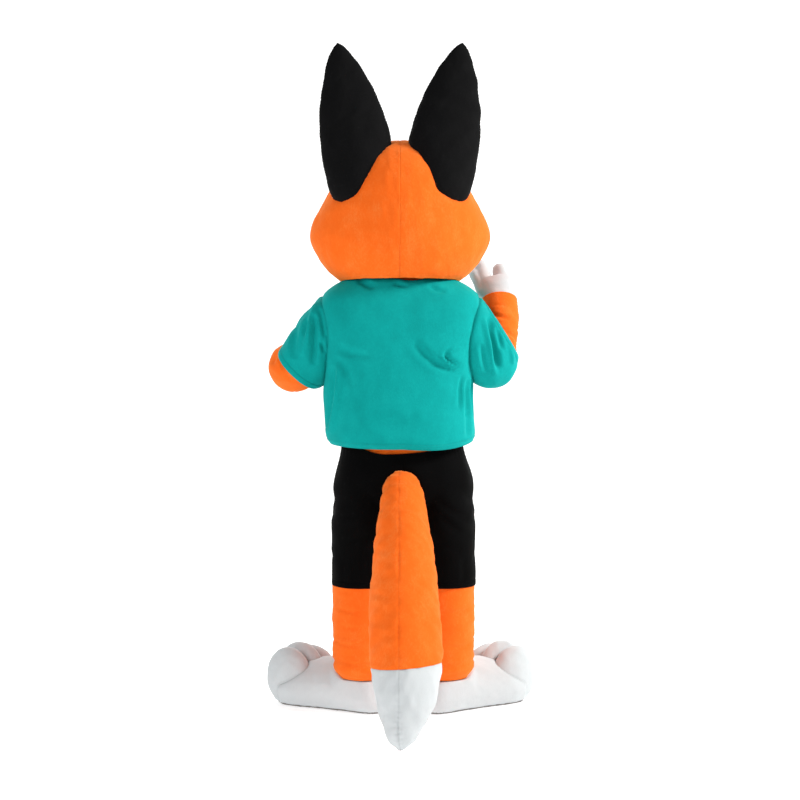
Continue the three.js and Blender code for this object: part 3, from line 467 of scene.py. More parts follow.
def sleeve_form(table, inwards):
    """A sleeve's rings, each from a point on the shoulder to one on its underside."""
    def form(s, a):
        top, low = place(table, s, "topX y topH"), place(table, s, "lowX y lowH")
        side = (top - low) * inwards / 2
        outward = unit(np.cross(side, np.array([0.0, 1.0, 0.0])))
        u, v = section(table, s, a)
        on = np.where(v > 0, read(table, "reach", s), read(table, "tuck", s)) * v / read(table, "back", s)
        points = (top + low) / 2 + side * u[..., None] + outward * on[..., None]
        points[..., 1] += v
        return points
    return form


def moved_out(form, distance):
    """The form moved out along its normals, by a number or by distance(s, a)."""
    step = 0.02

    def out(s, a):
        round_it = form(s, a + step) - form(s, a - step)
        up = form(s + step, a) - form(s - step, a)
        far = distance(s, a) if callable(distance) else distance * np.ones_like(s)
        return form(s, a) + unit(np.cross(round_it, up)) * far[..., None]
    return out


trunk = upright(TRUNK)
head = upright(HEAD)
collar = upright(COLLAR)
left_arm = limb(LEFT_ARM, (0, 0, 1))
right_upper = limb(RIGHT_UPPER, (0, 0, 1))
right_fore = limb(RIGHT_FORE, (1, 0, 0))
tail = limb(TAIL, (1, 0, 0))
muzzle = limb(MUZZLE, (1, 0, 0))
legs = {"left": leg_form(1), "right": leg_form(-1)}
ears = {"left": limb(EAR, (1, 0, 0)), "right": limb({**EAR, "x": -EAR["x"]}, (1, 0, 0))}
sleeves = {"left": sleeve_form(LEFT_SLEEVE, -1), "right": sleeve_form(RIGHT_SLEEVE, 1)}
tee_ease = moved_out(trunk, lambda s, a: read(TRUNK, "ease", s) + TEE_WALL)


def tee_body(t, a):
    """The tee's body from its hem, at t = 0, to its neck, at t = 1."""
    low = np.where(np.sin(a) > 0, TEE_HEM["back"], TEE_HEM["front"])
    hem = TEE_HEM["sides"] + (low - TEE_HEM["sides"]) * np.sin(a) ** 2
    hem = hem - (0.08 + 0.5 * np.maximum(-np.cos(a), 0)) * np.maximum(np.sin(a), 0) ** 2
    return tee_ease(hem + (TEE_TOP - hem) * t, a)


# ---- Grids of points ----
def even(form, places, angles, count, along, ease):
    """Places or angles spaced evenly over the form, and closer together at both ends by ease."""
    fine = 240
    s = np.linspace(*places, fine if along == "places" else 9)
    a = np.linspace(*angles, fine if along == "angles" else 13)
    points = form(*np.meshgrid(s, a, indexing="ij"))
    axis = 0 if along == "places" else 1
    steps = np.linalg.norm(np.diff(points, axis=axis), axis=-1).mean(axis=1 - axis)
    far = np.concatenate([[0], np.cumsum(steps)])
    t = np.linspace(0, 1, count)
    t = t - ease * np.sin(TURN * t) / TURN
    return np.interp(t * far[-1], far, s if along == "places" else a)


def grid_of(form, places, angles, rows, columns, ease=(0.0, 0.0)):
    s = even(form, places, angles, rows, "places", ease[0])
    a = even(form, places, angles, columns, "angles", ease[1])
    return form(*np.meshgrid(s, a, indexing="ij"))


def full_grid(form, last, rows=40, columns=65):
    return grid_of(form, (0, last), FULL, rows, columns)


def grid_normals(grid, closed):
    """Outward normals; a ring whose columns close runs on across its seam."""
    up = np.gradient(grid, axis=0)
    if closed:
        wide = np.concatenate([grid[:, -2:-1], grid, grid[:, 1:2]], axis=1)
        round_it = (wide[:, 2:] - wide[:, :-2]) / 2
    else:
        round_it = np.gradient(grid, axis=1)
    normals = np.cross(round_it, up)
    for row, inner in ((0, 1), (-1, -2)):
        if np.linalg.norm(normals[row], axis=-1).max() < 1e-6:
            normals[row] = normals[inner].mean(axis=0)
    return unit(normals)


def lengths(grid, axis):
    """How far each point is from the first row or column, along the cloth."""
    steps = np.linalg.norm(np.diff(grid, axis=axis), axis=-1)
    start = np.zeros_like(np.take(steps, [0], axis=axis))
    return np.concatenate([start, np.cumsum(steps, axis=axis)], axis=axis)


def from_edges(grid, edges):
    """Distance to the nearest of the named edges: low, high (rows), first, last (columns)."""
    down, across = lengths(grid, 0), lengths(grid, 1)
    far = {
        "low": down,
        "high": down[-1:] - down,
        "first": across,
        "last": across[:, -1:] - across,
    }
    return np.minimum.reduce([far[e] for e in edges.split()])


# ---- Surface detail, as distances out along the normals ----
def ripple(points, size, seed):
    """A smooth uneven field from about -1 to 1, with waves of about that size."""
    rng = np.random.default_rng(seed)
    flat = points.reshape(-1, 3)
    out = np.zeros(len(flat))
    for k in range(6):
        way = unit(rng.normal(size=3)) * TURN / (size * rng.uniform(0.7, 1.5))
        bend = unit(rng.normal(size=3)) * TURN / (size * 2.3)
        out += np.sin(flat @ way + rng.uniform(0, TURN) + 1.3 * np.sin(flat @ bend + k))
    return (out / 3).reshape(points.shape[:-1])


def creased(points, normals, table):
    """Troughs with soft shoulders, or ridges where the depth is negative."""
    flat, facing = points.reshape(-1, 3), normals.reshape(-1, 3)
    out = np.zeros(len(flat))
    t = np.linspace(0, 1, 13)[:, None]
    for look, u, h, mid_u, mid_h, to_u, to_h, width, depth in zip(*table.values()):
        axis, way = LOOKS[int(look)]
        start, mid, end = np.array([u, h]), np.array([mid_u, mid_h]), np.array([to_u, to_h])
        pull = 2 * mid - (start + end) / 2  # the curve's handle, so that it passes the middle
        line = (1 - t) ** 2 * start + 2 * t * (1 - t) * pull + t ** 2 * end
        towards = facing @ np.array(way, float)
        p = flat[:, [axis, 2]]
        near = ((p > line.min(0) - 4 * width) & (p < line.max(0) + 4 * width)).all(1) & (towards > 0)
        if not near.any():
            continue
        p = p[near][:, None, :]
        a, b = line[:-1], line[1:]
        share = np.clip(((p - a) * (b - a)).sum(-1) / ((b - a) ** 2).sum(-1), 0, 1)
        away = np.linalg.norm(p - a - share[..., None] * (b - a), axis=-1)
        best = away.argmin(1)
        pick = np.arange(len(best))
        q = away[pick, best] / width
        along = (best + share[pick, best]) / (len(t) - 1)
        fade = np.sqrt(np.clip(4 * along * (1 - along), 0, 1))
        square_on = np.clip(2.2 * towards[near], 0, 1)
        out[near] -= depth * (1 - 0.8 * q * q) * np.exp(-0.75 * q * q) * fade * square_on
    return out.reshape(points.shape[:-1])


def groove(away, depth=2.0, width=3.5):
    """Cloth pulled in along a seam."""
    return -depth * bell(away, width)


def pucker(away, along, seed, size=11.0, depth=0.7, width=9.0):
    """Small gathers that a line of stitching pulls up beside it."""
    wave = np.sin(TURN * along / size + seed + 1.7 * np.sin(along / 23 + seed))
    return depth * wave * bell(away, width)


def hemmed(away):
    """A turned hem: double cloth, a rounded edge and the line where it is sewn down."""
    double = 0.45 * (1 - np.tanh((away - HEM - 1.5) / 1.6))
    return double - 1.5 * bell(away - HEM, 1.8) - 0.9 * bell(away, 1.6)


# ---- Meshes in millimetres ----
def flat_grid(rows, columns):
    """A flat grid, and the row and column of each of its vertices."""
    bm = bmesh.new()
    bmesh.ops.create_grid(bm, x_segments=columns - 1, y_segments=rows - 1, size=1)
    x, y = np.array([v.co[:2] for v in bm.verts]).T
    return bm, np.rint((y + 1) / 2 * (rows - 1)).astype(int), np.rint((x + 1) / 2 * (columns - 1)).astype(int)


def put(bm, points):
    for v, p in zip(bm.verts, points.tolist()):
        v.co = p


def capped(grid, weld):
    """A grid that closes on itself, with its open ends capped."""
    bm, i, j = flat_grid(*grid.shape[:2])
    put(bm, grid[i, j])
    bmesh.ops.remove_doubles(bm, verts=bm.verts, dist=weld)
    bmesh.ops.holes_fill(bm, edges=[e for e in bm.edges if e.is_boundary], sides=0)
    return bm


def solid(grid):
    """A closed form with its faces outward."""
    bm = capped(grid, 0.2)
    bmesh.ops.triangulate(bm, faces=[f for f in bm.faces if len(f.verts) > 4])
    bmesh.ops.recalc_face_normals(bm, faces=bm.faces)
    return bm


def rings_about(centres, sides, rises, wide, deep, count):
    """A closed form of oval rings, each with its centre, its two directions and its half sizes."""
    a = np.linspace(0, TURN, count)
    return solid(np.array([
        centre + np.outer(np.cos(a), side) * w + np.outer(np.sin(a), rise) * d
        for centre, side, rise, w, d in zip(centres, sides, rises, wide, deep)
    ]))


def ball(at, size, segments, rings):
    bm = bmesh.new()
    bmesh.ops.create_uvsphere(bm, u_segments=segments, v_segments=rings, radius=1)
    bmesh.ops.scale(bm, vec=size, verts=bm.verts)
    bmesh.ops.translate(bm, vec=at, verts=bm.verts)
    return bm


def gathered(parts):
    """One bmesh of several, which are freed."""
    whole = bmesh.new()
    for part in parts:
        mesh = bpy.data.meshes.new("part")
        part.to_mesh(mesh)
        part.free()
        whole.from_mesh(mesh)
        bpy.data.meshes.remove(mesh)
    return whole


def one_skin(kind, parts):
    """One closed mesh round several closed forms."""
    step, smoothing = SKINS[kind]
    whole = gathered(parts)
    mesh = bpy.data.meshes.new(kind)
    whole.to_mesh(mesh)
    whole.free()
    obj = bpy.data.objects.new(kind, mesh)
    bpy.context.scene.collection.objects.link(obj)
    remesh = obj.modifiers.new("skin", "REMESH")
    remesh.mode = "VOXEL"
    remesh.voxel_size = step
    evaluated = obj.evaluated_get(bpy.context.evaluated_depsgraph_get())
    bm = bmesh.new()
    bm.from_mesh(evaluated.to_mesh())
    evaluated.to_mesh_clear()
    bpy.data.objects.remove(obj)
    bpy.data.meshes.remove(mesh)
    for _ in range(smoothing):
        bmesh.ops.smooth_vert(bm, verts=bm.verts, factor=0.5,
                              use_axis_x=True, use_axis_y=True, use_axis_z=True)
    return bm


def arrays(bm):
    """Vertex places and normals of a bmesh."""
    bm.normal_update()
    points = np.array([v.co[:] for v in bm.verts])
    return points, np.array([v.normal[:] for v in bm.verts])


def sliced(bm, at, facing, **how):
    """Cuts edges into a bmesh along a plane."""
    bmesh.ops.bisect_plane(bm, geom=bm.verts[:] + bm.edges[:] + bm.faces[:], dist=1e-3,
                           plane_co=at, plane_no=facing, **how)


def ringed(bm, at, facing, offsets=(-6, -3, -1.2, 0, 1.2, 3, 6)):
    """Extra edge loops beside a seam's plane."""
    for off in offsets:
        sliced(bm, Vector(at) + Vector(facing).normalized() * off, facing)


def kept(bm, *cuts):
    """A copy of a bmesh in front of each plane, given as a point and a direction."""
    out = bm.copy()
    for at, facing in cuts:
        sliced(out, at, facing, clear_inner=True)
    return out


def off_plane(points, at, facing):
    return (points - np.array(at, float)) @ unit(np.array(facing, float))


def without_hidden(bm, hidden):
    """Deletes the faces that lie between hidden vertices alone."""
    for v, gone in zip(bm.verts, hidden.tolist()):
        v.tag = gone
    faces = [f for f in bm.faces if all(v.tag for v in f.verts)]
    bmesh.ops.delete(bm, geom=faces, context="FACES")


# ---- Depth inside other forms ----
HIDDEN = 6  # deeper than this inside another form, cloth is left out
RIM = 12  # beside a rim the nearest face alone doesn't tell inside from outside, past this distance
AWAY = Vector((0.31, 0.22, 0.925)).normalized()


def tree_of(parts):
    """A search tree over closed forms."""
    bm = gathered(parts)
    tree = BVHTree.FromBMesh(bm)
    bm.free()
    return tree


def form_tree(*forms, fineness=(40, 65)):
    """A search tree over forms, each given with its last place."""
    return tree_of([capped(full_grid(form, last, *fineness), 0.5) for form, last in forms])


def crossings(tree, point):
    """How often a line away from the point passes the surface."""
    count, at = 0, tree.ray_cast(Vector(point), AWAY)[0]
    while at is not None:
        count, at = count + 1, tree.ray_cast(at + AWAY * 0.01, AWAY)[0]
    return count


def depth_in(tree, points):
    """How deep each point lies inside a closed form; outside it is negative."""
    flat = points.reshape(-1, 3)
    out = np.empty(len(flat))
    for k, p in enumerate(flat.tolist()):
        at, normal, _, away = tree.find_nearest(p)
        inside = (Vector(p) - at).dot(normal) < 0
        if inside and away > RIM:
            inside = crossings(tree, p) % 2 == 1
        out[k] = away if inside else -away
    return out.reshape(points.shape[:-1])


TEE_TREE = form_tree((tee_body, 1), fineness=(60, 97))
TRUNK_TREE = form_tree((trunk, TRUNK_TOP), fineness=(50, 81))
SLEEVES_TREE = form_tree((sleeves["left"], end_of(LEFT_SLEEVE)), (sleeves["right"], end_of(RIGHT_SLEEVE)))
ARM_TREE = form_tree(
    (left_arm, end_of(LEFT_ARM)), (right_upper, end_of(RIGHT_UPPER)), (right_fore, end_of(RIGHT_FORE)))
HEAD_TREE = form_tree((head, HEAD_TOP), fineness=(60, 97))
EARS_TREE = form_tree(*((form, end_of(EAR)) for form in ears.values()))
MUZZLE_TREE = form_tree((muzzle, end_of(MUZZLE)))
TAIL_TREE = form_tree((tail, TAIL_END))


# ---- Pieces ----
def to_frame(points):
    """From the tables' millimetres to the frame's metres."""
    return (points - np.array([0, 0, SHOULDER])) * MM


def made_mesh(bm, name):
    mesh = bpy.data.meshes.new(name)
    bm.to_mesh(mesh)
    bm.free()
    return mesh


def mesh_over(grid, name, shade, hidden=None):
    """A mesh over a grid of points, welded where it closes, with its hidden faces taken out."""
    bm, i, j = flat_grid(*grid.shape[:2])
    put(bm, to_frame(grid)[i, j])
    seam = bm.verts.layers.float.new("seam")
    for v, value in zip(bm.verts, shade[i, j].tolist()):
        v[seam] = value
    if hidden is not None:
        without_hidden(bm, hidden[i, j])
    bmesh.ops.remove_doubles(bm, verts=bm.verts, dist=0.02 * MM)
    return made_mesh(bm, name)


def mesh_of(bm, name, seam=None):
    """A mesh of a bmesh in millimetres; seam gives the shade of each point."""
    points = np.array([v.co[:] for v in bm.verts])
    mesh = made_mesh(bm, name)
    mesh.vertices.foreach_set("co", to_frame(points).ravel())
    attribute = mesh.attributes.new("seam", "FLOAT", "POINT")
    shade = np.zeros(len(points)) if seam is None else seam(points)
    attribute.data.foreach_set("value", shade.astype(np.float32))
    return mesh


def joined(name, meshes):
    bm = bmesh.new()
    for mesh in meshes:
        bm.from_mesh(mesh)
    return made_mesh(bm, name)


def shown(name, mesh, material):
    """An object with a smooth mesh in its material."""
    obj = bpy.data.objects.new(name, mesh)
    bpy.context.scene.collection.objects.link(obj)
    mesh.polygons.foreach_set("use_smooth", [True] * len(mesh.polygons))
    mesh.materials.append(material)
    return obj


def piece(name, mesh, slot, thick=0.0):
    """A finished piece that stands for the CAD node of its name, which it hides, and hangs from the root
    body.
    """
    obj = shown(name + "_look", mesh, MATERIALS[slot])
    if thick:
        wall = obj.modifiers.new("wall", "SOLIDIFY")
        wall.thickness = thick * MM
        wall.offset = -1
        wall.use_rim = True
        wall.use_even_offset = False
    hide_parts(name)
    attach(obj, "root")
    return obj


def panel_mesh(name, grid, closed=False, seams="", hem="", calm="", creases=None, gain=1.0, soft=1.5,
               waves=90.0, seed=1, tight=1.0, near=None, pull=(2.2, 0.8), inside=None, extra=None):
    """A panel's mesh, with creases, soft waves, seams pulled in and hems turned, its points and normals.

    near is a tree whose meeting line pulls the cloth in and gathers it by pull, inside one that
    hides what is in it. The creases fade towards the calm edges and the hems.
    """
    normals = grid_normals(grid, closed)
    out = soft * ripple(grid, waves, seed)
    if creases is not None:
        out = gain * creased(grid, normals, creases) + out
    if hem:
        out *= 0.25 + 0.75 * rising(from_edges(grid, hem), 4, 48)
    if calm:
        out *= 0.15 + 0.85 * rising(from_edges(grid, calm), 34, 76)
    # shade: how much painted shade each point takes, along seams, hem lines and meeting lines
    shade = np.zeros(grid.shape[:2])
    if seams:
        away = from_edges(grid, seams)
        sewn = groove(away) + pucker(away, lengths(grid, 0), seed)
        out = out * (1 - bell(away, 5)) + tight * sewn
        shade = np.maximum(shade, tight * bell(away, 2.2))
    if hem:
        away = from_edges(grid, hem)
        out += hemmed(away)
        shade = np.maximum(shade, 0.6 * bell(away - HEM, 1.4))
    if near is not None:
        away = np.abs(depth_in(near, grid))
        out += groove(away, pull[0], 4.5) + pucker(away, lengths(grid, 1), seed, 14, pull[1], 12)
        shade = np.maximum(shade, bell(away, 3.0))
    hidden = None if inside is None else depth_in(inside, grid) > HIDDEN
    if extra is not None:
        out = out + extra(grid)
    shaped = grid + normals * out[..., None]
    if closed:
        shaped[:, -1] = shaped[:, 0]
    return mesh_over(shaped, name, shade, hidden), shaped, normals


def panel(name, grid, slot, thick=0.0, **looks):
    """A piece with a panel's mesh."""
    return piece(name, panel_mesh(name, grid, **looks)[0], slot, thick)


# ---- Materials ----
class Value:
    """A number in a material, which takes part in sums."""

    def __init__(self, tree, socket):
        self.tree = tree
        self.socket = socket

    def _with(self, operation, *others, clamp=False):
        node = self.tree.nodes.new("ShaderNodeMath")
        node.operation = operation
        node.use_clamp = clamp
        for slot, item in zip(node.inputs, others):
            if isinstance(item, Value):
                self.tree.links.new(item.socket, slot)
            else:
                slot.default_value = item
        return Value(self.tree, node.outputs[0])

    def __add__(self, other):
        return self._with("ADD", self, other)

    def __sub__(self, other):
        return self._with("SUBTRACT", self, other)

    def __mul__(self, other):
        return self._with("MULTIPLY", self, other)

    def __rsub__(self, other):
        return self._with("SUBTRACT", other, self)

    __radd__ = __add__
    __rmul__ = __mul__

    def clamp(self):
        return self._with("ADD", self, 0.0, clamp=True)


class Finish:
    """A material under construction."""

    def __init__(self, name):
        self.material = bpy.data.materials.new(name)
        self.material.use_nodes = True
        self.tree = self.material.node_tree
        self.shader = self.tree.nodes["Principled BSDF"]
        self.coordinates = self.node("ShaderNodeTexCoord").outputs["Object"]

    def node(self, kind, inputs=(), **settings):
        """Any other node, with its settings and its inputs set or linked."""
        made = self.tree.nodes.new(kind)
        for key, value in settings.items():
            setattr(made, key, value)
        for key, value in dict(inputs).items():
            if isinstance(value, Value):
                self.tree.links.new(value.socket, made.inputs[key])
            elif isinstance(value, bpy.types.NodeSocket):
                self.tree.links.new(value, made.inputs[key])
            else:
                made.inputs[key].default_value = value
        return made

    def noise(self, scale, detail=2.0, roughness=0.5, stretch=(1, 1, 1)):
        """Noise from 0 to 1 with that many waves to the metre."""
        where = self.node("ShaderNodeMapping", {"Vector": self.coordinates, "Scale": stretch})
        made = self.node("ShaderNodeTexNoise", {
            "Vector": where.outputs[0], "Scale": scale, "Detail": detail, "Roughness": roughness,
        })
        return Value(self.tree, made.outputs["Fac"])

    def attribute(self, name):
        made = self.node("ShaderNodeAttribute", attribute_name=name)
        return Value(self.tree, made.outputs["Fac"])

    def mix(self, share, a, b):
        """Colour a going over to b by the share."""
        colours = [v if isinstance(v, Value) else (*v, 1) for v in (a, b)]
        made = self.node("ShaderNodeMix", {}, data_type="RGBA", clamp_factor=True)
        for key, value in zip((0, 6, 7), (share, *colours)):
            if isinstance(value, Value):
                self.tree.links.new(value.socket, made.inputs[key])
            else:
                made.inputs[key].default_value = value
        return Value(self.tree, made.outputs[2])

    def feed(self, name, value):
        self.tree.links.new(value.socket, self.shader.inputs[name])

    def bump(self, height, strength, distance):
        made = self.node("ShaderNodeBump", {"Height": height, "Strength": strength, "Distance": distance})
        self.tree.links.new(made.outputs[0], self.shader.inputs["Normal"])

    def fixed(self, **values):
        for key, value in values.items():
            self.shader.inputs[key.replace("_", " ")].default_value = value


def rgb(code):
    """A colour code as linear red, green and blue."""
    parts = [int(code[i:i + 2], 16) / 255 for i in (0, 2, 4)]
    return tuple(c / 12.92 if c <= 0.04045 else ((c + 0.055) / 1.055) ** 2.4 for c in parts)


def darker(colour):
    return tuple(0.6 * c for c in colour)


def plush(name, colours, sheen, pile=620.0, depth=0.0011, mottle=0.3):
    """Short cut pile: brushed patches, fine tufts, and painted shade along seams, hems and joins."""
    shade, base, light = (rgb(code) for code in colours.split())
    f = Finish(name)
    brushed = f.noise(26, 3, 0.55, (1, 1, 0.7))
    patch = f.noise(7, 2, 0.5)
    tufts = f.noise(pile, 3, 0.65, (1, 1, 0.8))
    coarse = f.noise(pile * 0.28, 2, 0.6, (1, 1, 0.6))
    lie = (brushed - 0.5) * 0.8 + (patch - 0.5) * 0.45 + (coarse - 0.5) * 0.8 + (tufts - 0.5) * 0.9
    tone = (lie * mottle + 0.5).clamp()
    colour = f.mix((tone * 2).clamp(), shade, base)
    colour = f.mix(((tone - 0.5) * 2).clamp(), colour, light)
    # painted shade: the seam attribute darkens the colour in grooves, along hem lines and where parts meet
    colour = f.mix((f.attribute("seam") * 0.3).clamp(), colour, darker(shade))
    f.feed("Base Color", colour)
    f.feed("Roughness", 0.82 + tufts * 0.16)
    f.bump(tufts * 0.55 + coarse * 0.9 + brushed * 0.5, 0.55, depth)
    f.fixed(Sheen_Weight=sheen, Sheen_Roughness=0.45, Sheen_Tint=(*light, 1), Specular_IOR_Level=0.12)
    return f.material


def shorts_cloth():
    """Dense black jersey with a fine knit and a little lint."""
    f = Finish("shorts_cloth")
    cloud = f.noise(14, 3, 0.55)
    knit = f.noise(900, 2, 0.5, (1, 1, 0.45))
    lint = f.noise(260, 1, 0.4)
    colour = f.mix(((cloud - 0.35) * 1.6).clamp(), rgb("030303"), rgb("070708"))
    colour = f.mix(((lint - 0.70) * 8).clamp(), colour, rgb("0E0E10"))
    f.feed("Base Color", colour)
    f.feed("Roughness", 0.72 + cloud * 0.25)
    f.bump(knit + cloud * 0.4, 0.35, 0.0006)
    f.fixed(Sheen_Weight=0.0, Sheen_Roughness=0.4, Specular_IOR_Level=0.05)
    return f.material


def sole_foam():
    f = Finish("sole_foam")
    grain = f.noise(420, 3, 0.6)
    scuff = f.noise(30, 4, 0.65)
    # painted shade: these greys are darker than the off-white foam, so the sole's edge shows as the shaded
    # line along the floor
    colour = f.mix(((scuff - 0.48) * 3).clamp(), rgb("7A7673"), rgb("66625F"))
    f.feed("Base Color", colour)
    f.feed("Roughness", 0.62 + grain * 0.3)
    f.bump(grain, 0.3, 0.0008)
    f.fixed(Specular_IOR_Level=0.3)
    return f.material


def gloss_black():
    f = Finish("gloss_black")
    haze = f.noise(60, 3, 0.6)
    f.feed("Base Color", f.mix(haze, rgb("060607"), rgb("0D0D10")))
    f.feed("Roughness", 0.12 + haze * 0.12)
    f.fixed(Coat_Weight=0.6, Coat_Roughness=0.08)
    return f.material


def thread(code):
    f = Finish("thread_" + code)
    f.feed("Base Color", f.mix(f.noise(1500, 1, 0.5), darker(rgb(code)), rgb(code)))
    f.fixed(Roughness=0.6, Specular_IOR_Level=0.3)
    return f.material


MATERIALS = {
    "orange_plush": plush("orange_plush", "EC5206 FA6B1A FFA258", 0.8),
    "white_plush": plush("white_plush", "B9BEC0 CBD0D2 D8DBDC", 0.1, mottle=0.25),
    "black_plush": plush("black_plush", "050506 09090A 131316", 0.08),
    "teal_plush": plush("teal_plush", "007571 029D99 1AC2BC", 0.3, pile=760.0, depth=0.0008),
    "shorts_cloth": shorts_cloth(),
    "sole_foam": sole_foam(),
    "gloss_black": gloss_black(),
}
TEAL_THREAD = thread("088F87")


# ---- Bodysuit ----
WAIST = {"h": 900, "tall": 40, "deep": 1.6}


def under_sleeve(grid):
    """The arm lies back from the sleeve over it."""
    return -SLEEVE_INSET * rising(depth_in(SLEEVES_TREE, grid), -2, 14)


def waist_folds(grid):
    """Slack cloth where the suit's waist shows between tee and shorts."""
    around = np.arctan2(grid[..., 1], grid[..., 0])
    wave = np.sin(around * 31 + 2 * np.sin(around * 7)) + 0.6 * np.sin(around * 53 + grid[..., 2] / 22)
    return WAIST["deep"] * bell(grid[..., 2] - WAIST["h"], WAIST["tall"]) * wave


def under_clothes(grid):
    """The suit's body lies back from the tee and the shorts."""
    s = np.linspace(WAIST_ROW, TRUNK_TOP, len(grid))[:, None]
    under_tee = SUIT_INSET * rising(s, 8, 10) * (1 - rising(s, 14.7, 15.6))
    return waist_folds(grid) - under_tee - 6 * (1 - rising(grid[..., 2], 876, 900))


def right_arm():
    """The raised arm's mesh: upper arm, elbow and forearm."""
    upper = grid_of(right_upper, (0, end_of(RIGHT_UPPER)), (-PI, PI), *GRIDS["upper_arm"])
    fore = grid_of(right_fore, (0, end_of(RIGHT_FORE)), (-PI, PI), *GRIDS["forearm"], (0, 0.3))
    elbow = ball(ELBOW["at"], (ELBOW["radius"] - ELBOW["inset"],) * 3, 32, 16)
    return joined("suit_arm_right", [
        panel_mesh("upper", upper, closed=True, soft=1, seed=6, inside=TRUNK_TREE, extra=under_sleeve)[0],
        panel_mesh("fore", fore, closed=True, seams="first last", calm="high", creases=ARM_CREASES,
                   gain=CREASE_GAIN["arm"], soft=1.6, waves=70, seed=7, extra=under_sleeve)[0],
        mesh_of(elbow, "elbow"),
    ])


def add_suit():
    for name, angles in (("suit_back", (0, PI)), ("suit_front", (PI, TURN))):
        grid = grid_of(trunk, (WAIST_ROW, TRUNK_TOP), angles, *GRIDS["trunk"], (0, 0.4))
        obj = panel(name, grid, "orange_plush", SUIT_WALL, seams="first last", soft=1.2, seed=3,
                    inside=ARM_TREE, extra=under_clothes)
    grid = grid_of(collar, (0, end_of(COLLAR)), FULL, *GRIDS["collar"])
    obj = panel("suit_collar", grid, "orange_plush", SUIT_WALL, closed=True, soft=1, seed=4)
    grid = grid_of(left_arm, (0, end_of(LEFT_ARM)), (-PI, PI), *GRIDS["arm"], (0, 0.3))
    obj = panel("suit_arm_left", grid, "orange_plush", SUIT_WALL, closed=True, seams="first last",
                creases=ARM_CREASES, gain=CREASE_GAIN["arm"], soft=1.6, waves=70, seed=5, inside=TRUNK_TREE,
                extra=under_sleeve, calm="high")
    obj = piece("suit_arm_right", right_arm(), "orange_plush", SUIT_WALL)


def level_wrinkles(seed):
    """Fine creases across a trouser leg, which is tucked under the shorts and into the foot."""
    def out(grid):
        high = grid[..., 2]
        h = high + 7 * ripple(grid, 150, seed)
        wave = np.sin(TURN * h / 33) + 0.6 * np.sin(TURN * h / 20 + 1)
        fine = 0.6 * wave * (0.4 + 0.6 * np.clip(ripple(grid, 120, seed + 1) + 0.4, 0, 1))
        return fine - (SUIT_INSET * rising(high, 424, 446) + 21 * bell(high - LEG_END_H, 20))
    return out


def add_legs():
    seats = {"left": (-PI / 2, PI / 2), "right": (PI / 2, 3 * PI / 2)}
    for side, name in ((1, "left"), (-1, "right")):
        centre = 0 if side > 0 else PI  # the inseam lies on the other side
        leg, last = legs[name], end_of(LEG)
        grid = grid_of(leg, (0, last), (centre - PI, centre + PI), *GRIDS["leg"], (0, 0.3))
        trouser = panel_mesh("leg", grid, closed=True, seams="first last", creases=LEG_CREASES,
                             gain=CREASE_GAIN["leg"], soft=1.5, waves=80, seed=8 + side,
                             extra=level_wrinkles(11 + side))[0]
        grid = grid_of(trunk, (0, WAIST_ROW - 0.01), seats[name], *GRIDS["seat"])
        seat = panel_mesh("seat", grid, soft=0.5, seed=12, inside=form_tree((leg, last)),
                          extra=lambda g: np.full(g.shape[:2], -SUIT_INSET))[0]
        mesh = joined("suit_leg_" + name, [trouser, seat])
        obj = piece("suit_leg_" + name, mesh, "orange_plush", SUIT_WALL)


# ---- Tee ----
def hem_line(grid, normals, edge):
    """The line where the low or high edge's hem is sewn down, with its normals."""
    far = lengths(grid, 0)
    if edge == "high":
        far = far[-1:] - far
    line, up = [], []
    for j in range(grid.shape[1]):
        order = np.argsort(far[:, j])
        line.append([np.interp(HEM, far[order, j], grid[order, j, c]) for c in range(3)])
        up.append([np.interp(HEM, far[order, j], normals[order, j, c]) for c in range(3)])
    return np.array(line), unit(np.array(up))


def stitched(name, line, normals):
    """A row of thread stitches along a line on the cloth."""
    far = lengths(line[None], 1)[0]
    count = int(far[-1] / (STITCH["long"] + STITCH["gap"]))
    places = (np.arange(count) + 0.5) * far[-1] / count

    def along(values, ahead=0.0):
        return np.array([np.interp(places + ahead, far, values[:, c]) for c in range(3)]).T

    middles, outs = along(line), along(normals)
    one = bmesh.new()
    bmesh.ops.create_icosphere(one, subdivisions=1, radius=0.5)
    stitch = made_mesh(one, "stitch")
    size = Matrix.Diagonal((STITCH["long"], STITCH["wide"], STITCH["wide"])) * MM
    bm = bmesh.new()
    for at, forward, out in zip(middles, unit(along(line, 1.5) - middles), outs):
        across = unit(np.cross(out, forward))
        turn = Matrix(np.array([forward, across, np.cross(forward, across)]).T.tolist())
        spot = Matrix.Translation(to_frame(at + STITCH["raised"] * out).tolist())
        before = len(bm.verts)
        bm.from_mesh(stitch)
        bm.verts.ensure_lookup_table()
        bmesh.ops.transform(bm, matrix=spot @ (turn @ size).to_4x4(), verts=bm.verts[before:])
    obj = shown(name, made_mesh(bm, name), TEAL_THREAD)
    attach(obj, "root")
    return obj


def shoulder_shape(grid):
    """The shoulders' slack between neck and armhole, and the pull of the raised arm."""
    x, y, h = grid[..., 0], grid[..., 1], grid[..., 2]
    right = np.exp(-((x + 190) / 60) ** 2 - ((h - 1330) / 60) ** 2)
    nape = np.exp(-((x + 40) / 34) ** 2 - (from_edges(grid, "high") / 30) ** 2) * (y > 0)
    return 2.5 * right - 6 * nape - 9 * bell(from_edges(grid, "low"), 12)


def tee_panel(name, grid, hem, stitches, **looks):
    """A panel of the tee, and the stitches of its hem along its low or high edge."""
    mesh, shaped, normals = panel_mesh(name, grid, seams="first last", hem=hem, soft=2.2,
                                       gain=CREASE_GAIN["tee"], **looks)
    obj = piece(name, mesh, "teal_plush", TEE_WALL)
    return obj, stitched(stitches, *hem_line(shaped, normals, hem))


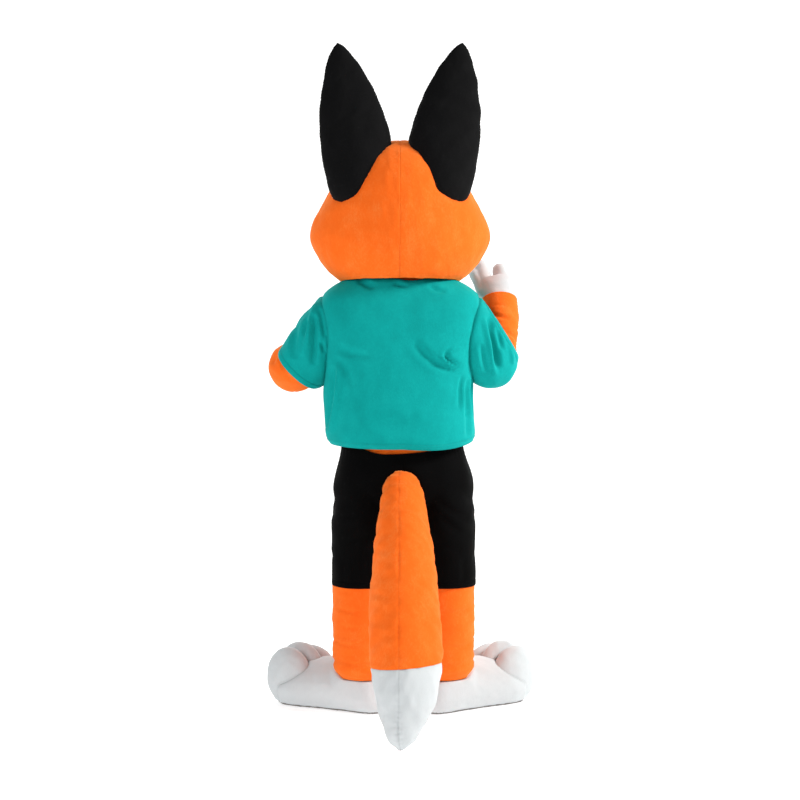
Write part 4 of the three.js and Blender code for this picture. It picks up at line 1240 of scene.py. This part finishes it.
def add_tee():
    for name, angles in (("tee_back", (0, PI)), ("tee_front", (PI, TURN))):
        grid = grid_of(tee_body, (0, 1), angles, *GRIDS["tee"], (0.35, 0.4))
        obj, sewn = tee_panel(name, grid, "low", name + "_hem_stitches", creases=TEE_CREASES, waves=120,
                              seed=21, near=SLEEVES_TREE, extra=shoulder_shape)
    sides = [  # the seam runs along the underside, where the rings start
        ("left", LEFT_SLEEVE, 0, 22, (0.56, 0.26), 0.085),
        ("right", RIGHT_SLEEVE, -PI, 23, (0.60, 0.28), 0.11),
    ]
    for side, table, start, seed, flat, area in sides:
        name = "tee_sleeve_" + side
        angles = (start, start + TURN)
        grid = grid_of(sleeves[side], (0, end_of(table)), angles, *GRIDS["sleeve"], (0.2, 0.3))
        obj, sewn = tee_panel(name, grid, "high", name + "_stitches", closed=True, creases=SLEEVE_CREASES,
                              waves=95, seed=seed, near=TEE_TREE, inside=TEE_TREE)
        "suit_arm_" + side


# ---- Shorts ----
SHORTS_CENTRE, SHORTS_SIDE = (HIP_X, 0, 0), (0, SIDE_SEAM_Y, 0)
SHORTS_HEM, SHORTS_TOP = (0, 0, SHORTS_HEM_H), (0, 0, SHORTS_TOP_H)
LEFTWARD, BACKWARD, UPWARD = (1, 0, 0), (0, 1, 0), (0, 0, 1)
RIGHTWARD, FORWARD, DOWNWARD = (-1, 0, 0), (0, -1, 0), (0, 0, -1)
ELASTIC = {
    "dip": 20, "dipX": 52, "dipWide": (78, 200),
    "climb": 14, "climbX": -5, "climbWide": 150,
    "low": 800,
}


def shorts_skin():
    """The shorts' form, with edge loops beside its seams, its hem and its elastic."""
    out = SHORTS_EASE + SHORTS_WALL
    parts = [solid(grid_of(moved_out(trunk, out), SHORTS_SEAT, FULL, 60, 97))]
    parts += [solid(grid_of(moved_out(leg, out), SHORTS_LEG, FULL, 60, 81)) for leg in legs.values()]
    whole = one_skin("shorts", parts)
    ringed(whole, SHORTS_CENTRE, LEFTWARD)
    ringed(whole, SHORTS_SIDE, BACKWARD)
    ringed(whole, SHORTS_HEM, UPWARD, (0, 1.5, HEM - 2.5, HEM, HEM + 2.5))
    ringed(whole, SHORTS_TOP, UPWARD, (-24, -21, -18, -1.5, 0))
    return whole


def shorts_surface(points, normals):
    """Creases, seams, the hem, the tail's seam and the gathers of the elastic."""
    middle = np.abs(off_plane(points, SHORTS_CENTRE, LEFTWARD))
    flank = np.abs(off_plane(points, SHORTS_SIDE, BACKWARD))
    root = np.abs(depth_in(TAIL_TREE, points))
    high = points[:, 2]
    seam = np.minimum(middle, flank)
    move = creased(points, normals, SHORTS_CREASES) + 1.6 * ripple(points, 110, 31)
    move = move * (1 - bell(seam, 5)) + groove(seam, 2.0, 3.0)
    move += pucker(middle, high, 1, 13, 0.6) + pucker(flank, high, 2, 12, 0.5)
    move += hemmed(np.maximum(high - SHORTS_HEM_H, 0)) + groove(root, 2.5, 5)
    around = np.arctan2(points[:, 1], points[:, 0] - HIP_X)
    gathers = np.sin(around * 64 + 2 * np.sin(around * 9))
    return move + 0.6 * gathers * np.clip((high - 835) / 40, 0, 1)


def elastic_edge(points):
    """The upper edge dips to the left of the tail and climbs under the tee at the sides."""
    aside = points[:, 0] - ELASTIC["dipX"]
    dip = ELASTIC["dip"] * bell(aside, np.where(aside > 0, *ELASTIC["dipWide"])) * (points[:, 1] > 0)
    climb = ELASTIC["climb"] * (1 - np.exp(-((points[:, 0] - ELASTIC["climbX"]) / ELASTIC["climbWide"]) ** 4))
    stretch = np.clip((points[:, 2] - ELASTIC["low"]) / (SHORTS_TOP_H - ELASTIC["low"]), 0, 1)
    points[:, 2] += (climb - dip) * stretch ** 2
    return points


def shorts_shade(points):
    seams = np.minimum(np.abs(points[:, 0] - HIP_X), np.abs(points[:, 1] - SIDE_SEAM_Y))
    sewn = points[:, 2] - SHORTS_HEM_H - HEM
    return np.maximum(bell(seams, 2.2), 0.6 * bell(sewn, 1.4))


def inside_tail(face):
    middle = face.calc_center_median()
    at, normal, _, away = TAIL_TREE.find_nearest(middle)
    return (middle - at).dot(normal) < 0 and away > 5


def add_shorts():
    whole = shorts_skin()
    points, normals = arrays(whole)
    put(whole, points + normals * shorts_surface(points, normals)[:, None])
    body = kept(whole, ((0, 0, SHORTS_HEM_H - 0.3), UPWARD), (SHORTS_TOP, DOWNWARD))
    whole.free()
    put(body, elastic_edge(arrays(body)[0]))
    bmesh.ops.delete(body, geom=[f for f in body.faces if inside_tail(f)], context="FACES")
    for name, facing in (("left", LEFTWARD), ("right", RIGHTWARD)):
        for part, way in (("back", BACKWARD), ("front", FORWARD)):
            half = kept(body, (SHORTS_CENTRE, facing), (SHORTS_SIDE, way))
            full = "_".join(("shorts", part, name))
            obj = piece(full, mesh_of(half, full, shorts_shade), "shorts_cloth", SHORTS_WALL)
    body.free()


# ---- Tail ----
def crossing(low, high, past, rounds):
    """The values between low and high at which past begins to hold, found by halving."""
    for _ in range(rounds):
        mid = (low + high) / 2
        beyond = past(mid)
        low, high = np.where(beyond, low, mid), np.where(beyond, mid, high)
    return (low + high) / 2


def stuffed(seed):
    """Lumps of filling under the cloth, and short gathers beside the seams."""
    def out(grid):
        away = from_edges(grid, "first last")
        gathers = np.sin(TURN * lengths(grid, 0) / 17 + 2 * ripple(grid, 60, seed))
        return 1.6 * ripple(grid, 42, seed) + 1.1 * gathers * bell(away, 16)
    return out


def tail_seams(places):
    """The angles of the seams along the tail's back and its front."""
    seam_x = TAIL_SEAM_X * (1 - rising(places, TAIL_END - 1.5, TAIL_END))
    start, half = np.zeros_like(places), np.full_like(places, PI)
    back = crossing(start, half, lambda a: tail(places, a)[..., 0] <= seam_x, 30)
    front = -crossing(start, half, lambda a: tail(places, -a)[..., 0] <= seam_x, 30)
    return back, front


def add_tail():
    at, facing = np.array(TIP_SEAM["at"]), unit(np.array(TIP_SEAM["facing"], float))
    body = form_tree((moved_out(trunk, SHORTS_EASE + SHORTS_WALL), 5))
    places = np.linspace(0, TAIL_END, 400)
    back, front = tail_seams(places)
    for name, start, end in (("left", front, back), ("right", back, front + TURN)):
        rows, columns = GRIDS["tail"]
        share = np.linspace(0, 1, columns)
        share = share - 0.35 / TURN * np.sin(TURN * share)

        def half(s, start=start, end=end, share=share):
            first, last = np.interp(s, places, start), np.interp(s, places, end)
            return tail(s, first + (last - first) * share)

        edge = crossing(np.zeros(columns), np.full(columns, float(TAIL_END)),
                        lambda s, half=half: (half(s) - at) @ facing > 0, 40)
        brush = half(edge * np.linspace(0, 1, rows)[:, None])
        tip = half(edge + (TAIL_END - edge) * np.linspace(0, 1, GRIDS["tip"][0])[:, None])
        obj = panel("tail_" + name, brush, "orange_plush", seams="first last high", soft=2.2, waves=110,
                    seed=41, near=body, inside=body, extra=stuffed(42), tight=0.6)
        obj = panel("tail_tip_" + name, tip, "white_plush", seams="first last low", soft=1.8, waves=90,
                    seed=43, extra=stuffed(44), tight=0.7)


# ---- Head ----
def foam(seed):
    """The slight unevenness of carved foam under its cover."""
    def out(grid):
        return 0.8 * ripple(grid, 60, seed) + 0.35 * ripple(grid, 24, seed + 1)
    return out


def add_head():
    back, front = PI / 2, 3 * PI / 2
    sides = {"left": -HEAD_SIDE, "right": PI + HEAD_SIDE}
    whole, upper, lower = (0, HEAD_TOP), (CHEEK_ROW, HEAD_TOP), (0, CHEEK_ROW)
    round_left, round_right = (front, TURN + sides["left"]), (sides["right"], front)
    panels = [
        ("head_back", "left", whole, (sides["left"], back), "first last", "orange_plush"),
        ("head_back", "right", whole, (back, sides["right"]), "first last", "orange_plush"),
        ("head_front", "right", upper, round_right, "first last low", "orange_plush"),
        ("head_front", "left", upper, round_left, "first last low", "orange_plush"),
        ("head_cheek", "right", lower, round_right, "first last high", "white_plush"),
        ("head_cheek", "left", lower, round_left, "first last high", "white_plush"),
    ]
    for part, name, places, angles, seams, slot in panels:
        grid = grid_of(head, places, angles, *GRIDS[part], (0.2, 0.4))
        obj = panel(part + "_" + name, grid, slot, HEAD_WALL, seams=seams, soft=1.6, waves=130, seed=51,
                    near=MUZZLE_TREE if part == "head_cheek" else EARS_TREE, extra=foam(52),
                    tight=0.45, pull=(1.2, 0.1))
    for name, angles in (("muzzle_left", (-back, back)), ("muzzle_right", (back, front))):
        grid = grid_of(muzzle, (0, end_of(MUZZLE)), angles, *GRIDS["muzzle"], (0, 0.4))
        obj = panel(name, grid, "white_plush", seams="first last", soft=1, seed=53,
                    near=HEAD_TREE, inside=HEAD_TREE, extra=foam(54))
    for side, name in ((1, "left"), (-1, "right")):
        for part, angles, slot in (("back", (0, PI), "black_plush"), ("front", (PI, TURN), "white_plush")):
            grid = grid_of(ears[name], (0, end_of(EAR)), angles, *GRIDS["ear"], (0, 0.4))
            obj = panel("_".join(("ear", part, name)), grid, slot, seams="first last", soft=1.6,
                        waves=70, seed=55 + side, near=HEAD_TREE, inside=HEAD_TREE, extra=foam(57),
                        pull=(0.8, 0.1))
        add_button("eye_" + name, (side * EYE["x"], EYE["y"], EYE["h"]), EYE["size"])
    add_button("nose", NOSE["at"], NOSE["size"])


def add_button(name, at, size):
    """A glossy oval eye or nose."""
    piece(name, mesh_of(ball(at, size, 48, 24), name), "gloss_black")


# ---- Feet ----
def on_foot(points, name):
    """From a foot's own length, side and height to the figure."""
    turn = math.radians(SHOE_TURN[name])
    x, y = SHOE_AT[name]
    long, aside, high = points.T
    across = long * math.cos(turn) - aside * math.sin(turn)
    back = long * math.sin(turn) + aside * math.cos(turn)
    return np.stack([x + across, y + back, high], -1)


def off_foot(points, name):
    """The reverse of on_foot."""
    turn = math.radians(SHOE_TURN[name])
    dx, dy = points[:, 0] - SHOE_AT[name][0], points[:, 1] - SHOE_AT[name][1]
    long, aside = dx * math.cos(turn) + dy * math.sin(turn), dy * math.cos(turn) - dx * math.sin(turn)
    return np.stack([long, aside, points[:, 2]], -1)


def shoe_swell(wide, up):
    """How far the sides swell out, up from the sole at 0 to the top at 1."""
    return SHOE_BULGE * np.clip(wide / 46, 0, 1) * np.sin(PI * up)


def shoe_form(s, a):
    """The foot's upper: half sections over the sole, from the heel to the front."""
    power = 2 / SHOE_SQUARE
    across, up = np.cos(a), np.maximum(np.sin(a), 0) ** power
    wide, top = read(SHOE_RINGS, "wide", s), read(SHOE_RINGS, "top", s) - SOLE
    side = np.sign(across) * (wide * np.abs(across) ** power + shoe_swell(wide, up))
    points = [read(SHOE_RINGS, "l", s), side, SOLE + top * up]
    return np.stack(np.broadcast_arrays(*points), -1)


def shoe_depth(points):
    """How far points, in the foot's own directions, lie inside its upper."""
    power = 2 / SHOE_SQUARE
    places = np.linspace(0, SHOE_END, 500)
    s = np.interp(points[:, 0], read(SHOE_RINGS, "l", places), places)
    wide, top = read(SHOE_RINGS, "wide", s), read(SHOE_RINGS, "top", s) - SOLE
    up = np.clip((points[:, 2] - SOLE) / top, 0, 1)
    across = np.sqrt(np.maximum(1 - up ** (2 / power), 0)) ** power
    half = wide * across + shoe_swell(wide, up)
    ends = np.minimum(points[:, 0] - SHOE_HEEL[0], SHOE_TIP[0] - points[:, 0])
    return np.minimum(np.minimum(half - np.abs(points[:, 1]), SOLE + top - points[:, 2]), ends)


def shoe_solid():
    s = np.linspace(0, SHOE_END, 80)
    a = np.concatenate([np.linspace(0, PI, 60), np.linspace(PI, TURN, 12)[1:]])
    grid = shoe_form(*np.meshgrid(s, a, indexing="ij"))
    below = a > PI
    grid[:, below, 1] = grid[:, 59:60, 1] * (1 - 2 * (a[below] - PI) / PI)
    grid[:, below, 2] = SOLE + 0.2
    return solid(grid)


def toe_ball(name, k):
    """A toe's middle, half length and top; the middle toe is the highest."""
    if k == 0:
        return TOE_BALLS["middle"]
    return TOE_BALLS["near" if (k > 0) == (name == "left") else "far"]


def toe_solid(name, k):
    middle, long, top = toe_ball(name, k)
    half = (top + TOE["below"]) / 2
    return ball((middle, k * TOE["apart"], top - half), (long, TOE["wide"], half), 40, 24)


def ankle_padding(points, name):
    """Lifts the foot's top under the trouser leg up to its end."""
    x = HIP_X + (LEG["out"][0] if name == "left" else -LEG["out"][0])
    away = np.hypot(points[:, 0] - x, points[:, 1])
    lift = (1 - rising(away, ANKLE["reach"], ANKLE["edge"])) * rising(points[:, 2], 48, 84)
    high = ANKLE["h"] + ANKLE["instep"] * rising(off_foot(points, name)[:, 0], 20, 96)
    return np.maximum(high - points[:, 2], 0) * lift


def foot_shade(points, away):
    """Darker where toes and foot meet and along the sole."""
    return np.maximum(0.8 * bell(away, 2.5), 0.5 * bell(points[:, 2] - CLEAR, 2.0))


def add_upper(name):
    toes = tree_of([toe_solid(name, k) for k in (-1, 0, 1)])
    upper = one_skin("foot", [shoe_solid()])
    points, normals = arrays(upper)
    move = 1.6 * ripple(points, 80, 61) + 0.5 * ripple(points, 28, 62)
    move += groove(np.abs(depth_in(toes, points)), 3.0, 5)
    heel_seam = np.abs(points[:, 1]) + 400 * (points[:, 0] > -60)
    move += groove(heel_seam, 1.8, 4)
    points += normals * (move * np.clip((points[:, 2] - SOLE) / 12, 0, 1))[:, None]
    points = on_foot(points, name)
    points[:, 2] += ankle_padding(points, name) - (SOLE - CLEAR) * (1 - rising(points[:, 2], SOLE, 44))
    put(upper, points)
    open_faces = []
    for f in upper.faces:
        x, y, h = f.calc_center_median()
        bottom = h < CLEAR + 2.5 and f.normal.z < -0.5
        if bottom or math.hypot(x - SHOE_AT[name][0], y - SHOE_AT[name][1]) < SHOE_OPENING:
            open_faces.append(f)
    bmesh.ops.delete(upper, geom=open_faces, context="FACES")

    def shade(p):
        return foot_shade(p, np.abs(depth_in(toes, off_foot(p, name))))

    full = "foot_upper_" + name
    piece(full, mesh_of(upper, full, shade), "white_plush", SHOE_WALL)


def add_toe(name, k, full):
    bm = one_skin("toe", [toe_solid(name, k)])
    points, normals = arrays(bm)
    points += normals * (1.2 * ripple(points, 60, 70 + k) + 0.5 * ripple(points, 24, 75 + k))[:, None]
    # Neighbouring toes press against each other, and the foot stands on its sole.
    for edge, way in ((k - 0.5, 1), (k + 0.5, -1)):
        if abs(edge) < 1:
            wall = edge * TOE["apart"]
            away = (points[:, 1] - wall) * way
            points[:, 1] = wall + way * 3 * np.logaddexp(0, away / 3)
    points[:, 2] = CLEAR + 4 * np.logaddexp(0, (points[:, 2] - CLEAR) / 4)
    put(bm, points)
    without_hidden(bm, shoe_depth(points) > TOE["hidden"])
    put(bm, on_foot(arrays(bm)[0], name))

    def shade(p):
        return foot_shade(p, np.abs(shoe_depth(off_foot(p, name))))

    piece(full, mesh_of(bm, full, shade), "white_plush")


def slab(outline):
    """A closed plate of the sole's thickness on a flat outline."""
    ring = np.concatenate([outline, outline[:1]])
    return solid(np.array([np.column_stack([ring, np.full(len(ring), h)]) for h in (0, SOLE / 2, SOLE)]))


def add_sole(name):
    """A foam sole flush with the foot, with a pad under each toe."""
    half = shoe_form(np.linspace(0.35, SHOE_END - 1, 60), np.zeros(60))[:, :2] - (0, SOLE_INSET)
    slabs = [slab(np.concatenate([half, half[::-1] * (1, -1)]))]
    angle = np.linspace(0, TURN, 48, endpoint=False)
    for k in (-1, 0, 1):
        middle, long, _ = toe_ball(name, k)
        slabs.append(slab(np.column_stack([
            middle + long * TOE["pad"] * np.cos(angle),
            k * TOE["apart"] + TOE["wide"] * TOE["pad"] * np.sin(angle)])))
    bm = one_skin("sole", slabs)
    points, _ = arrays(bm)
    points[:, 2] = np.clip(points[:, 2], 0, SOLE)
    put(bm, on_foot(points, name))
    piece("foot_sole_" + name, mesh_of(bm, "foot_sole_" + name), "sole_foam")


def add_feet():
    for name in ("left", "right"):
        add_upper(name)
        for k, letter in ((-1, "a"), (0, "b"), (1, "c")):
            add_toe(name, k, "toe_" + letter + "_" + name)
        add_sole(name)


# ---- Gloves ----
def palm_solid(wrist, arm_way, along, across, cuff):
    """The cuff, which runs on from the arm, and the palm, which turns into the hand's direction."""
    centres, sides, rises, wide, deep = [], [], [], [], []
    for t in np.linspace(0, end_of(PALM), 16):
        s = np.array(t)
        turned = np.clip(t - 1, 0, 1)
        way = unit(arm_way * (1 - turned) + along * turned)
        side = unit(across - (across @ way) * way)
        centres.append(wrist + way * float(read(PALM, "along", s)))
        sides.append(side)
        rises.append(np.cross(way, side))
        for sizes, column in ((wide, "wide"), (deep, "back")):
            widening = cuff + (PALM[column][2] - cuff) * turned
            sizes.append(widening if t < 2 else float(read(PALM, column, s)))
    return rings_about(centres, sides, rises, wide, deep, 49)


def finger_solid(root, end, radius, end_radius):
    """A rounded tube from root to end."""
    way = unit(end - root)
    side = unit(np.cross(way, np.array([0.31, 0.53, 0.79])))
    rise = np.cross(way, side)
    long = float(np.linalg.norm(end - root))
    centres, radii = [], []
    for t in np.linspace(-PI / 2, PI / 2, 15):
        size, start = (radius, 0) if t < 0 else (end_radius, long)
        centres.append(root + way * (size * math.sin(t) + start))
        radii.append(size * max(math.cos(t), 0.02))
    count = len(radii)
    return rings_about(centres, [side] * count, [rise] * count, radii, radii, 33)


def add_glove(name, table):
    hand = HANDS[name]
    wrist = np.array([table[c][-1] for c in "xyh"])
    arm_way = unit(wrist - place(table, np.array(end_of(table) - 0.2)))
    along = unit(np.array(hand["along"], float))
    across = np.array(hand["across"], float)
    across = unit(across - (across @ along) * along)
    up = np.cross(along, across)
    cuff = table["wide"][-1] - SUIT_WALL - CUFF_GAP
    parts = [palm_solid(wrist, arm_way, along, across, cuff)]
    for u, t, v, to_u, to_t, to_v, radius in FINGERS:
        root = wrist + across * u + along * t + up * v
        end = wrist + across * to_u + along * to_t + up * to_v
        parts.append(finger_solid(root, end, radius, radius * FINGER_TAPER))
    bm = one_skin("glove", parts)
    ringed(bm, wrist.tolist(), up.tolist(), (-3, -1.5, 0, 1.5, 3))
    points, normals = arrays(bm)
    off = np.abs(off_plane(points, wrist, up))
    move = 0.9 * ripple(points, 40, 81) + 1.6 + groove(off, 1.6, 2.6)
    put(bm, points + normals * move[:, None])

    def shade(p):
        return 0.8 * bell(off_plane(p, wrist, up), 1.8)

    for part, way, area in (("back", up, 0.037), ("palm", -up, 0.044)):
        full = "_".join(("glove", part, name))
        half = kept(bm, (wrist.tolist(), way.tolist()))
        obj = piece(full, mesh_of(half, full, shade), "white_plush", GLOVE_WALL)
    bm.free()


# ---- Floor, light and camera ----
STAGE = {"start": 4.6, "flat": 7.4, "radius": 1.6, "long": 15.0, "wide": 8.0, "below": 0.0005}  # metres
PAPER_GLOW = 0.55
CAMERA = {"behind": 4.0, "height": 1.042, "lens": 53.3}


def add_stage():
    """A sheet of pale paper: level under the figure, curved up and standing behind it."""
    bm = bmesh.new()
    bmesh.ops.create_grid(bm, x_segments=8, y_segments=90, size=1)
    for v in bm.verts:
        run = (v.co.y + 1) / 2 * STAGE["long"]
        bend = max(0.0, run - STAGE["flat"])
        turn = min(bend / STAGE["radius"], PI / 2)
        over = max(0.0, bend - STAGE["radius"] * PI / 2)
        y = STAGE["start"] - min(run, STAGE["flat"]) - STAGE["radius"] * math.sin(turn)
        z = STAGE["radius"] * (1 - math.cos(turn)) + over
        v.co = (v.co.x * STAGE["wide"], y, z - SHOULDER * MM - STAGE["below"])
    bmesh.ops.recalc_face_normals(bm, faces=bm.faces)
    f = Finish("paper")
    f.fixed(Base_Color=(0.75, 0.75, 0.75, 1), Roughness=0.9, Specular_IOR_Level=0.1,
            Emission_Color=(1, 1, 1, 1), Emission_Strength=PAPER_GLOW)
    floor = shown("floor", made_mesh(bm, "floor"), f.material)


def add_light(name, at, to, size, power, colour=(1, 1, 1)):
    data = bpy.data.lights.new(name, "AREA")
    data.shape = "RECTANGLE"
    data.size, data.size_y = size
    data.energy = power
    data.color = colour
    lamp = bpy.data.objects.new(name, data)
    lamp.location = at
    lamp.rotation_euler = (Vector(to) - Vector(at)).to_track_quat("-Z", "Y").to_euler()
    bpy.context.scene.collection.objects.link(lamp)


def add_lights():
    world = bpy.data.worlds.new("studio")
    world.use_nodes = True
    world.node_tree.nodes["Background"].inputs["Color"].default_value = (1, 1, 1, 1)
    world.node_tree.nodes["Background"].inputs["Strength"].default_value = 0.28
    bpy.context.scene.world = world
    add_light("key", (-3.9, 0.9, 2.1), (0, 0, -0.3), (1.3, 1.5), 250, (1, 0.985, 0.96))
    add_light("fill", (2.6, 3.0, 0.8), (0, 0, -0.4), (2.4, 2.4), 62)
    add_light("rim", (1.4, -2.4, 2.2), (0, 0, 0.1), (1.6, 1.6), 40)
    add_light("front", (-1.6, -3.0, 1.2), (0, 0, -0.2), (2.2, 2.2), 40)


def add_camera():
    data = bpy.data.cameras.new("camera")
    data.sensor_width = 36
    data.lens = CAMERA["lens"]
    camera = bpy.data.objects.new("camera", data)
    camera.location = (0, CAMERA["behind"], CAMERA["height"] - SHOULDER * MM)
    camera.rotation_euler = (PI / 2, 0, PI)
    bpy.context.scene.collection.objects.link(camera)
    bpy.context.scene.camera = camera


add_suit()
add_legs()
add_tee()
add_shorts()
add_tail()
add_head()
add_feet()
add_glove("left", LEFT_ARM)
add_glove("right", RIGHT_FORE)
add_stage()
add_lights()
add_camera()
bpy.context.scene.view_settings.view_transform = "Standard"
bpy.context.scene.view_settings.look = "None"
bpy.context.scene.view_settings.exposure = 0.0
